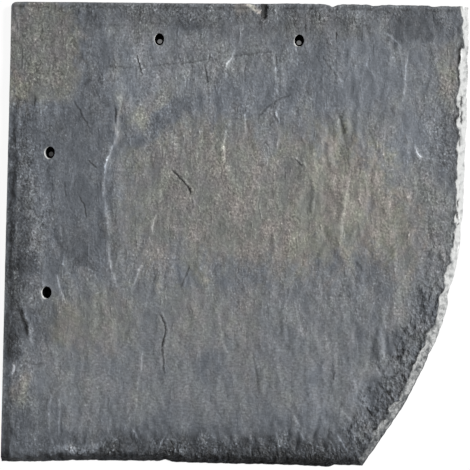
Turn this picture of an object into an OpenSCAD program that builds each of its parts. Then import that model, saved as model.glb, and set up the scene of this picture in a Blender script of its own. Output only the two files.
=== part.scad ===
// Slate-look roof shingle with one arched corner, lying face up.
// Seen from above, the head edge is at +Y, the foot edge at -Y, the hung side at -X and the
// dressed side, which runs on round the arch, at +X. The origin is under the middle of the plate.

/* [Plate] */
// Width, from the hung side to the dressed side
plate_w = 300; // [260:1:400]
// Height, from the head edge to the foot edge along the hung side
plate_h = 300; // [260:1:400]
// Thickness of the plate
plate_t = 7; // [5:0.1:10]
// Radius of the rounded corner between the head and the hung side
corner_r = 3.5; // [1:0.1:10]

/* [Out of square] */
// Rise of the head edge from the hung side to the dressed side
head_rise = 2.8; // [0.1:0.1:6]
// Rise of the foot edge from the hung side to the end of the arch
foot_rise = 1.9; // [0.1:0.1:6]
// How far the hung side leans in at the head
hung_lean = 1.3; // [0.1:0.1:6]

/* [Arch] */
// Radius of the arched cut
arch_r = 300; // [240:1:400]
// Length of straight dressed side between the head edge and the arch
arch_start = 117.2; // [60:0.1:190]

/* [Dressed side and arch] */
// Width of the dressed band, from the wall to the deepest part of a flake scar
dress_w = 5.2; // [3:0.1:8]
// Height of the square wall left under the dressed band
dress_wall = 1.4; // [0.5:0.1:3]
// Length of edge that one flake scar takes
dress_pitch = 13; // [9:0.5:20]
// Radius of the hollow of a flake scar
dress_r = 14; // [10:0.5:24]

/* [Dressed foot edge] */
// Width of the dressed band along the foot
foot_w = 4.4; // [2:0.1:7]
// Height of the square wall left under the band
foot_wall = 1; // [0.5:0.1:3]
// Length of edge that one flake scar takes
foot_pitch = 9; // [6:0.5:15]
// Radius of the hollow of a flake scar
foot_r = 9.5; // [8:0.5:16]

/* [Unevenness of the dressing] */
// Share by which the scars differ from each other
dress_vary = 0.18; // [0:0.01:0.3]
// Start of the series that the differences are drawn from
dress_seed = 7; // [1:1:99]

/* [Hung side] */
// Width of the sloping margin along the hung side
margin_w = 7.5; // [3:0.1:15]
// Drop of that margin from the face to the wall
margin_drop = 1; // [0.3:0.1:2.5]

/* [Head edge] */
// Width of the small bevel along the head edge
head_bevel = 0.8; // [0.3:0.1:2]
// Radius of the nicks in the head edge
nick_r = 10; // [5:0.5:20]

/* [Nail holes] */
// Diameter of a nail hole
nail_d = 3.2; // [2.5:0.1:4.5]
// Width of the pocket that sinks the nail hole into the face
pocket_w = 5.8; // [5:0.1:8]
// Extra length of the pocket over its width, towards the head
pocket_more = 1.4; // [0.2:0.1:4]
// Thickness of plate left under the pocket
pocket_web = 2.6; // [1.5:0.1:4]
// Distance from the head edge to the row of holes along it
nail_from_head = 24.3; // [15:0.1:45]
// Distance from the hung side to the row of holes along it
nail_from_side = 27.6; // [15:0.1:45]
// Distance from the corner to the first hole of the row along the head
nail_first_head = 96.6; // [60:0.1:120]
// Distance from the corner to the first hole of the row along the hung side
nail_first_side = 98.3; // [60:0.1:120]
// Distance between the two holes of a row
nail_pitch = 91; // [40:0.5:120]

/* [Hidden] */
$fn = 96;
// Cutters run this far past the faces that they cut
past = 5;
// Nicks in the head edge: place from the hung side as a share of the width, and depth
head_nicks = [[0.708, 2.6], [0.802, 1.2], [0.932, 0.9]];

full_h = plate_h + head_rise;
low_y = -full_h / 2;
arch_x = plate_w / 2 - arch_r;
arch_y = full_h / 2 - arch_start;
foot_end_y = low_y + foot_rise;
foot_end_x = arch_x + sqrt(arch_r * arch_r - (arch_y - foot_end_y) ^ 2);
arch_turn = asin((arch_y - foot_end_y) / arch_r);
arch_len = arch_r * arch_turn * PI / 180;
dress_len = arch_start + arch_len;
dress_count = round(dress_len / dress_pitch);
foot_len = norm([foot_end_x + plate_w / 2, foot_rise]);
foot_count = round(foot_len / foot_pitch);
head_turn = atan2(head_rise, plate_w);
foot_turn = atan2(foot_rise, foot_end_x + plate_w / 2);
hung_turn = 90 - atan2(hung_lean, full_h);
// Where the head and the hung side would meet if their corner weren't rounded
corner_up = plate_h / (1 - head_rise * hung_lean / (full_h * plate_w));
corner = [-plate_w / 2 + hung_lean * corner_up / full_h, low_y + corner_up, 0];

// Places along the head, foot and hung edges: X runs along the edge from its corner on the hung side,
// which for the hung side itself is the corner at the foot
module at_head() translate([-plate_w / 2, full_h / 2 - head_rise, 0]) rotate(head_turn) children();
module at_foot() translate([-plate_w / 2, low_y, 0]) rotate(foot_turn) children();
module at_hung() translate([-plate_w / 2, low_y, 0]) rotate(hung_turn) children();

// Plate with its arched corner, still square at the head and the foot
module plate_blank() {
    translate([-plate_w / 2, arch_y, 0]) cube([plate_w, arch_start, plate_t]);
    intersection() {
        translate([-plate_w / 2, low_y, 0]) cube([plate_w + past, full_h - arch_start, plate_t]);
        translate([arch_x, arch_y, -past]) cylinder(r = arch_r, h = plate_t + 2 * past);
    }
}

// What is taken off on the +Y side of an edge along X
module edge_cut(length) {
    translate([-past, 0, -past]) cube([length + 3 * past, 4 * past, plate_t + 2 * past]);
}

// What is taken off to round the corner at the head, where the two edges don't meet quite square
module corner_cut() {
    half = (180 - hung_turn + head_turn) / 2;
    middle = corner_r / sin(half);
    chord = middle - corner_r * sin(half);
    translate(corner) rotate(head_turn - half) difference() {
        translate([-past, -2 * corner_r, -past]) cube([past + chord, 4 * corner_r, plate_t + 2 * past]);
        translate([middle, 0, -2 * past]) cylinder(r = corner_r, h = plate_t + 4 * past);
    }
}

// Long wedge off the upper arris of an edge along +X, with the plate on its -Y side
module arris_cut(length, width, drop) {
    slope = drop / width;
    translate([-past, 0, plate_t]) rotate([90, 0, 90]) linear_extrude(length + 2 * past)
        polygon([[past, -drop - past * slope], [-width - past, past * slope], [past, past * slope]]);
}

// One flake scar: a hollow ball whose lowest line runs from the face, width inside the edge, down to
// the wall. The edge runs along Y through the origin, with the plate on its -X side.
module flake_scar(width, wall, r) {
    fall = plate_t - wall;
    chord = norm([width, fall]);
    reach = sqrt(r * r - chord * chord / 4);
    translate([-width / 2 + reach * fall / chord, 0, wall + fall / 2 + reach * width / chord]) sphere(r = r);
}

// Row of flake scars down the dressed side and round the arch
module dressed_side() {
    wander = rands(-dress_vary, dress_vary, dress_count, dress_seed);
    spread = rands(-dress_vary, dress_vary, dress_count, dress_seed + 1);
    for (i = [0 : dress_count - 1]) {
        s = (i + 0.5 + wander[i]) * dress_len / dress_count;
        turn = max(0, s - arch_start) / arch_r * 180 / PI;
        if (s < arch_start)
            translate([plate_w / 2, full_h / 2 - s, 0]) flake_scar(dress_w * (1 + spread[i]), dress_wall, dress_r);
        else
            translate([arch_x, arch_y, 0]) rotate(-turn) translate([arch_r, 0, 0])
                flake_scar(dress_w * (1 + spread[i]), dress_wall, dress_r);
    }
}

// Row of smaller flake scars along the foot edge
module dressed_foot() {
    wander = rands(-dress_vary, dress_vary, foot_count, dress_seed + 2);
    spread = rands(-dress_vary, dress_vary, foot_count, dress_seed + 3);
    for (i = [0 : foot_count - 1]) {
        s = (i + 0.5 + wander[i]) * foot_len / foot_count;
        translate([s, 0, 0]) rotate(-90) flake_scar(foot_w * (1 + spread[i]), foot_wall, foot_r);
    }
}

// Nail hole at the bottom of its pocket, which is longer than wide
module nail_hole() {
    depth = plate_t - pocket_web + past;
    translate([0, 0, -past]) cylinder(d = nail_d, h = plate_t + 2 * past);
    translate([0, 0, pocket_web]) {
        cylinder(d = pocket_w, h = depth);
        translate([0, pocket_more, 0]) cylinder(d = pocket_w, h = depth);
        translate([-pocket_w / 2, 0, 0]) cube([pocket_w, pocket_more, depth]);
    }
}

// The two rows of nail holes, each measured along its edge from the corner at the head
module nail_rows() {
    for (i = [0, 1]) {
        translate(corner) rotate(head_turn)
            translate([nail_first_head + i * nail_pitch, -nail_from_head, 0]) nail_hole();
        translate(corner) rotate(hung_turn - 90)
            translate([nail_from_side, -nail_first_side - i * nail_pitch, 0]) nail_hole();
    }
}

module shingle() {
    color("#6f7276") difference() {
        plate_blank();
        at_head() edge_cut(plate_w);
        at_foot() mirror([0, 1, 0]) edge_cut(plate_w);
        at_hung() edge_cut(full_h);
        corner_cut();
        at_head() arris_cut(plate_w, head_bevel, head_bevel);
        at_hung() arris_cut(full_h, margin_w, margin_drop);
        dressed_side();
        at_foot() dressed_foot();
        at_head() for (n = head_nicks)
            translate([n[0] * plate_w, nick_r - n[1], -past]) cylinder(r = nick_r, h = plate_t + 2 * past);
        nail_rows();
    }
}

shingle();
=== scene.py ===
"""Slate-look roof shingle with one arched corner, lying face up and seen from straight above."""
import math

import bpy
import numpy as np
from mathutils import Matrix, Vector
from mathutils.geometry import tessellate_polygon


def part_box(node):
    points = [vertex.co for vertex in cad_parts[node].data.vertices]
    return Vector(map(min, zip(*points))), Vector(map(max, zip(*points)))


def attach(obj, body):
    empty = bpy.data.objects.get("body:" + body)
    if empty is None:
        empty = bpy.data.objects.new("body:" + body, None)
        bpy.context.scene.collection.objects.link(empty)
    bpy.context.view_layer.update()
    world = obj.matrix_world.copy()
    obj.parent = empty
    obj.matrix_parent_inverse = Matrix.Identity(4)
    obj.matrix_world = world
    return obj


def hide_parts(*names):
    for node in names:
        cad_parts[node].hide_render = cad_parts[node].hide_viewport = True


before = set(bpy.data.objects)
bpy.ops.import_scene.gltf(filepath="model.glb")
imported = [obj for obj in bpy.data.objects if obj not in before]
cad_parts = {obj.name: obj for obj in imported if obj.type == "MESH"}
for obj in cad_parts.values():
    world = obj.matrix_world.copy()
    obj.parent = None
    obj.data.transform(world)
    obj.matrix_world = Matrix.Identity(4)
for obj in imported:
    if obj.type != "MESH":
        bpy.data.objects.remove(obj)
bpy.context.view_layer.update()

# All sizes below are in millimetres, and meshes are scaled to metres as they are made
MM = 0.001
LOW, HIGH = (np.array(corner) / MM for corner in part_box("shingle"))
WIDTH, HEIGHT, THICK = HIGH - LOW
SEED = 11

# Plan of the plate: the arch is tangent to the dressed side and its centre is on the hung side
ARCH_R = 300.0
ARCH_START = 117.2
CORNER_R = 3.5
# How far each edge was cut inside the plate's box, at places along it
HUNG_INSET = [(-150, 0.0), (-125, 0.1), (-80, 0.3), (10, 0.65), (100, 1.3), (150, 1.3)]
HEAD_INSET = [
    (-150, 2.8), (-97, 2.1), (-37, 1.6), (0, 1.1), (45, 0.1), (55, 0.2), (58, 0.9), (60.5, 2.4), (63, 1.0),
    (66, 0.2), (83, 0.2), (87, 1.1), (90, 0.8), (93, 0.1), (123, 0.1), (127, 0.8), (131, 0.1), (150, 0.0),
]
FOOT_INSET = [
    (-150, 0.0), (-135, 0.1), (-125, 0.4), (-105, 1.4), (-95, 1.8), (-55, 2.0), (-46, 2.2), (-43.5, 3.1),
    (-39, 2.0), (-35, 1.6), (5, 1.3), (35, 1.5), (68, 1.8), (90, 1.8),
]
# The thin lowest layer of the foot sticks out past the rest between these places
FOOT_LAYER_INSET = FOOT_INSET[:-3] + [(18, 1.3), (45, 0.9), (55, 0.5), (65, 0.3), (67, 1.6), (90, 1.7)]
DRESSED_INSET = [
    (-150, 0.7), (-147, 0.8), (-135, 2.0), (-125, 1.5), (-115, 1.1), (-95, 0.8), (-75, 0.7), (-67, -0.3),
    (-55, -0.4), (-44, -0.1), (-38, 1.6), (-33, 1.6), (-25, 0.7), (-15, 0.4), (-5, 0.7), (5, 1.0), (15, 1.2),
    (35, 1.0), (55, 0.9), (65, 0.4), (85, 0.1), (95, 0.4), (105, 0.0), (130, 0.0), (140, 0.2), (150, 0.5),
]
# The lower arris of the arch stands out past the dressing by this much, at places along the edge
ARRIS_OUT = [(0, 0.1), (205, 0.1), (235, 0.8), (320, 0.9)]
# An inset fades out this far from its edge
INSET_REACH = 18.0
# Raggedness of an edge: how far in it wanders, and the length of the wander
HEAD_RAGGED = (0.35, 9.0)
FOOT_RAGGED = (0.30, 8.0)
DRESSED_RAGGED = (0.45, 11.0)
# The head's raggedness sets in between these places along it
HEAD_RAGGED_SPAN = (-30, 20)

# Grid that the face is made of: line spacing on the face and in the worked bands along the edges
GRID_STEP = 1.09
FINE_STEP = 0.6
FINE_HUNG, FINE_DRESSED, FINE_FOOT, FINE_HEAD = 1.8, 8.6, 7.2, 2.4
# Edges of the mesh that turn by more than this, in degrees, are shaded sharp
SHARP_ANGLE = 55

# Nail holes: places, and the bore at the bottom of an oval pocket, longer than wide towards the head
NAIL_PLACES = [(-51.9, 125.2), (39.1, 126.1), (-121.5, 50.2), (-121.9, -40.8)]
NAIL_R = 1.6
POCKET_R = 3.15
POCKET_MORE = 1.5
POCKET_WEB = 2.6
# The pocket's mouth is spalled on one side: radius, depth, offset of its middle, and share at each hole
SPALL_R = 3.4
SPALL_DEPTH = 0.8
SPALL_OFFSET = (-0.7, -0.4)
SPALL_SHARES = [0.35, 0.5, 1.0, 0.75]
# Grid rings round a hole: the first is the pocket's wall, and the last is plain grid again
NAIL_RINGS = {3: POCKET_R, 4: 3.6, 5: 4.2, 6: 5.0, 7: 6.1, 8: 7.2}
NAIL_RING_LOOSE = {3: 0.0, 4: 0.0, 5: 0.0, 6: 0.25, 7: 0.55, 8: 0.85}

# Rows of points down a wall: share of the way from its upper outline to its lower one, and down the plate
WALL_LEVELS = [(row / 6, row / 6) for row in range(1, 7)]
POCKET_FLOOR = 1 - POCKET_WEB / THICK
POCKET_LEVELS = [
    (0.0, POCKET_FLOOR / 3), (0.0, 2 * POCKET_FLOOR / 3), (0.0, POCKET_FLOOR), (0.5, POCKET_FLOOR),
    (1.0, POCKET_FLOOR), (1.0, (1 + POCKET_FLOOR) / 2), (1.0, 1.0),
]

# Ledges where a layer of the face ends, each from its upper end down: fall towards the dressed side,
# reach of the rise back to the face, strength of the thin line along it, and points
# The thin line along a ledge is a painted highlight, or painted shade where its strength is below 0
LEDGES = [
    (0.30, 6.0, 0.15, [(-75.5, 99), (-76, 90), (-77, 80), (-77.5, 72), (-77, 65)]),
    (0.55, 7.0, 0.35, [(-76.8, 67), (-79, 60), (-80.5, 55)]),
    (0.60, 7.0, 1.20, [(-80.5, 57), (-82.5, 51), (-84.5, 46), (-85.5, 40), (-86, 33)]),
    (0.50, 7.0, 0.45, [(-85.8, 37), (-86.2, 29), (-86, 21)]),
    (0.35, 7.0, 0.25, [(-86, 24), (-84.5, 15), (-83, 8), (-82.2, 0), (-81.5, -5)]),
    (0.55, 7.0, 0.80, [(-80, -4), (-81.8, -9), (-82, -14), (-81, -19), (-79.5, -26)]),
    (0.35, 6.0, 0.35, [(-80, -23), (-78, -30), (-76, -38)]),
    (0.20, 5.0, 0.25, [(-49, 40), (-49.5, 30), (-49, 22), (-50.5, 16)]),
    (0.40, 5.0, 1.00, [(-51.5, 13), (-53.5, 7), (-53.8, 2), (-54.2, -2)]),
    (0.20, 6.0, 0.15, [(-54, -1), (-55, -9), (-57.5, -17)]),
    (0.35, 6.0, 0.60, [(-58, -17), (-61.5, -23), (-64, -30), (-67.5, -39)]),
    (0.50, 4.0, 1.05, [(-7, 70), (-8, 63), (-8.5, 57), (-8.2, 51), (-8.4, 45)]),
    (0.30, 5.0, 0.85, [(-2, 122), (-5, 114), (-8, 108), (-8.3, 98)]),
    (0.25, 3.0, 0.60, [(-12.4, 101), (-12.3, 95), (-12.6, 90)]),
    (0.30, 4.0, 0.90, [(24, 110), (24.2, 105), (24, 100)]),
    (0.25, 4.0, 0.60, [(25.2, 104), (25.7, 98), (25.7, 91)]),
    (0.25, 4.0, 0.45, [(37, 123), (37.8, 117), (38.5, 110)]),
    (0.20, 3.0, 0.60, [(64.5, 105), (66, 102.5), (67.5, 100)]),
    (0.12, 4.0, 0.60, [(83, 116), (84, 110), (86.5, 107), (89, 103)]),
    (0.40, 4.0, 1.20, [(96, 133), (101, 128), (105.5, 124)]),
    (0.30, 5.0, 0.60, [(109.4, 123), (109, 113), (108.6, 104), (108.4, 97), (108.3, 87)]),
    (0.30, 3.0, 0.90, [(26, 62), (26, 58), (26.3, 54)]),
    (0.25, 4.0, 0.60, [(4.6, 80), (5, 73), (5.6, 65)]),
    (0.35, 3.0, 0.80, [(43.4, 51), (44.3, 47), (45.2, 44)]),
    (-0.30, 6.0, -0.10, [(66.2, 79), (68.8, 71), (70.5, 62), (72, 53), (73, 42)]),
    (0.20, 7.0, 0.00, [(76, 77), (80, 65), (85, 54), (90, 42), (94, 32)]),
    (0.45, 7.0, 0.20, [(73, 41), (71.5, 27), (70.5, 17), (69.3, 5), (68.5, -9)]),
    (0.60, 4.0, 1.20, [(114.5, 61), (117.5, 55.5), (121.5, 52)]),
    (0.25, 4.0, 0.40, [(121, 52.5), (126, 51.5), (133, 51)]),
    (0.50, 4.0, 1.00, [(-115.3, -28), (-114, -35), (-112.5, -40), (-109, -47)]),
    (0.20, 4.0, 0.35, [(-115, 12), (-113.5, 0), (-112.5, -9)]),
    (0.20, 4.0, 0.50, [(-111, -11), (-111, -17), (-111.6, -24)]),
    (0.22, 3.5, 0.35, [(-104, 47), (-106.5, 34), (-109, 21)]),
    (0.70, 6.0, 0.50, [(-138, -49), (-134.5, -58), (-132.3, -67), (-130.5, -76)]),
    (0.20, 5.0, 0.05, [(-10, -53), (-6.5, -70), (-2.8, -82), (-0.3, -91)]),
    (0.25, 4.0, 0.40, [(-58.8, -75), (-59.2, -83), (-59.8, -92)]),
    (0.20, 4.0, 0.20, [(-59.8, -90), (-62, -104), (-62.6, -121)]),
    (0.50, 3.0, 1.00, [(-64.5, -127), (-62.5, -131), (-60.4, -136)]),
    (0.30, 3.0, 0.80, [(-42, -129), (-44.5, -134), (-47.5, -140)]),
    (0.25, 3.0, 0.50, [(-111.5, -104), (-112, -113), (-112.2, -136)]),
    (0.20, 3.0, 0.35, [(-117.5, -105), (-118.5, -116), (-118.6, -134)]),
    (0.15, 3.0, 0.25, [(-82, -106), (-81.8, -120)]),
    (0.20, 5.0, 0.20, [(-67, -43), (-67.5, -52)]),
    (0.25, 3.0, 0.60, [(-117, -135), (-115.6, -139)]),
    (0.70, 5.0, 0.14, [(95, -60), (97, -68), (98.3, -76), (99.5, -84)]),
    (0.30, 4.0, 0.20, [(69, -43), (71, -48), (71.5, -55)]),
    (0.40, 5.0, 0.20, [(78, -92), (80.5, -98), (81, -104)]),
    (0.45, 4.0, 0.40, [(69, -110), (73, -115), (77, -119), (80.5, -124)]),
    (0.45, 4.0, 0.60, [(39.5, -116), (42.5, -121), (45, -126)]),
    (0.45, 4.0, 0.90, [(42.5, -125), (45.5, -129.5), (48.3, -134)]),
    (0.45, 3.0, 0.90, [(11.5, -130), (13, -133.5), (13.5, -136)]),
    (0.60, 3.0, 1.10, [(79.5, -128), (80.7, -133), (81.5, -141)]),
    (0.35, 3.5, 0.20, [(42, -55), (44, -61), (46, -67)]),
    (0.35, 3.0, 0.80, [(29, -127), (32, -139)]),
    (0.40, 3.0, 1.50, [(57.5, -131), (59, -136), (60.5, -141)]),
    (0.45, 3.0, 1.40, [(68, -128), (72, -134), (76, -141)]),
    (0.40, 3.0, 1.20, [(2.5, -132), (4.5, -139)]),
    (0.50, 3.0, 2.20, [(-38.5, -136), (-36.8, -139), (-35.5, -142)]),
    (0.40, 3.0, 2.00, [(-26, -138), (-25, -141), (-24.5, -143.5)]),
    (0.40, 3.0, 1.80, [(-11, -139), (-10, -142), (-9.6, -144.5)]),
    (0.40, 3.0, 1.80, [(11.5, -136), (12.2, -140), (12.5, -143)]),
    (0.40, 3.0, 1.60, [(39.5, -136), (41.2, -140), (42, -143.5)]),
    (0.40, 3.0, 1.80, [(51, -133), (52.5, -137), (53, -141.5)]),
    (0.40, 3.0, 1.80, [(63.5, -132), (66, -136.5), (68, -141)]),
    (0.40, 4.0, 0.50, [(112, -55), (115.5, -60), (117, -65)]),
]
# Open cracks, scratches and pits, each from its upper end down: depth, half width, strength of the
# paler line beside it, and points
# A crack's depth also sets the painted shade along it, and the paler line beside it is a painted highlight
CRACKS = [
    (0.60, 1.2, 0.42, [(-43.5, 43), (-40, 39.5), (-36.5, 36), (-33, 32), (-30.5, 28.5), (-28.5, 23)]),
    (0.30, 1.0, 0.30, [(-28.6, 23.5), (-28.3, 20), (-28.4, 15)]),
    (0.54, 1.1, 0.38, [(-49.4, -49.6), (-47.2, -54), (-45.2, -58), (-44.2, -61), (-44, -64), (-45.4, -69),
                       (-46.3, -75), (-46.2, -81)]),
    (0.38, 1.0, 0.30, [(-46.2, -74), (-45.9, -80), (-45.2, -86), (-44.6, -93)]),
    (0.45, 0.8, 0.20, [(-97, 47.5), (-94, 44), (-90.5, 41)]),
    (0.45, 0.8, 0.15, [(-102, 24.5), (-100.5, 20), (-98.2, 16), (-97, 7)]),
    (0.35, 0.8, 0.12, [(-111.5, 33), (-111.3, 27), (-111, 21)]),
    (0.30, 1.1, 0.20, [(-29, -20), (-32.3, -28.8), (-35.5, -36)]),
    (0.26, 1.3, 0.10, [(12.5, -73), (14.8, -86), (16.4, -96), (17.2, -103)]),
    (0.35, 0.8, 0.15, [(-39.3, 117), (-37.5, 109)]),
    (0.60, 0.9, 0.70, [(-66.6, 116), (-64.5, 109.5), (-62.4, 102)]),
    (0.50, 0.8, 0.60, [(-18.7, 118), (-19.6, 111)]),
    (0.45, 1.0, 0.40, [(-22, 112), (-21, 105), (-19.6, 96)]),
    (0.20, 0.9, 0.40, [(-20, 98), (-19.1, 89), (-19, 82)]),
    (0.50, 0.7, 0.30, [(24, 118), (24.8, 108)]),
    (0.22, 1.2, 0.20, [(54, 118), (58, 111), (64, 104)]),
    (0.45, 0.9, 0.60, [(37.5, 51), (40.5, 47.5), (43, 44.5)]),
    (0.15, 1.7, 0.35, [(42.6, 46), (45.5, 41), (48, 35), (48.9, 28), (48.4, 21), (47, 15), (44, 9)]),
    (0.20, 1.6, 0.15, [(78, -16), (83.5, -22.5)]),
    (0.55, 1.1, 0.30, [(100, -99), (102.5, -103), (105.5, -107)]),
    (0.55, 1.1, 0.30, [(87, -110), (89.5, -114), (92.5, -118)]),
    (0.50, 2.5, 0.28, [(-140.3, -49), (-136.9, -57.8), (-134.7, -65.5), (-133.3, -71)]),
    (0.60, 1.2, 0.36, [(-39.5, -134), (-36.6, -142)]),
    (0.36, 0.9, 0.30, [(-140.8, 120), (-140.6, 112), (-140.9, 104)]),
    (0.26, 1.4, 0.10, [(36, 92.5), (28.3, 89.2), (20.7, 84.5), (11.5, 74.5)]),
    (0.22, 1.2, 0.05, [(25, 119.2), (9, 118), (-9, 115.4)]),
    (0.22, 1.2, 0.05, [(-13, 114.2), (-31, 111.4), (-42, 110.3), (-60, 108.2)]),
    (0.20, 1.5, 0.05, [(-67, 107.6), (-76, 107.4), (-88, 108.2)]),
    (1.60, 2.7, 0.10, [(16.4, 162), (16.3, 151), (16.2, 146), (16.2, 139.5)]),
    (0.36, 2.3, 0.10, [(65.5, 80), (67.8, 74), (69.4, 65)]),
    (0.35, 1.0, 1.40, [(23.4, 81), (24.4, 77), (25.8, 72)]),
    (0.34, 1.0, 0.20, [(-107.5, 88), (-105.6, 83), (-102.2, 78.5), (-100.6, 74), (-97.6, 70.5),
                       (-96.4, 65)]),
    (0.40, 0.9, 0.20, [(-132, 88), (-132.2, 80)]),
    (0.35, 0.9, 0.20, [(-131, 110), (-131.2, 101)]),
    (0.50, 1.0, 0.20, [(-79.4, 82), (-79.2, 70)]),
    (0.30, 0.9, 0.10, [(4, 110), (4.3, 99)]),
    (0.50, 0.9, 0.20, [(63, 134), (63.2, 127)]),
    (0.50, 0.9, 0.20, [(43, 138), (43.2, 132)]),
    (0.60, 1.6, 0.00, [(143.2, 125), (143, 112)]),
    (0.60, 1.6, 0.00, [(143.4, 111), (143, 102)]),
    (0.60, 1.6, 0.00, [(145.4, 94), (145.8, 85)]),
    (0.60, 1.6, 0.00, [(145.6, 84), (145.4, 74)]),
    (0.45, 1.0, 0.00, [(145, 67), (144.6, 59)]),
    (0.60, 1.2, 0.00, [(144.6, 25.5), (144.4, 20)]),
    (0.60, 1.2, 0.00, [(143.9, 18.5), (143.7, 12)]),
    (0.50, 1.0, 0.00, [(146.4, 10.5), (143.4, 8.5)]),
    (0.45, 1.2, 0.10, [(104, -68), (107, -74), (108, -80)]),
    (0.50, 1.1, 0.20, [(111, -88), (112.5, -94)]),
    (0.50, 1.2, 0.20, [(116, -79), (117, -83)]),
    (0.40, 1.0, 0.20, [(66, -88), (65.4, -94)]),
    (0.22, 1.5, 0.10, [(-136, -85), (-128, -87), (-123, -85.5)]),
]

# Ledges and cracks wander about their paths by this much, over this length
LEDGE_JAG = 1.8
CRACK_JAG = 1.5
JAG_SIZE = 7.0
# Step along a path between the places that are looked up, and share of its length that tapers at each end
MARK_STEP = 0.5
MARK_TAPER = 0.18

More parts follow.
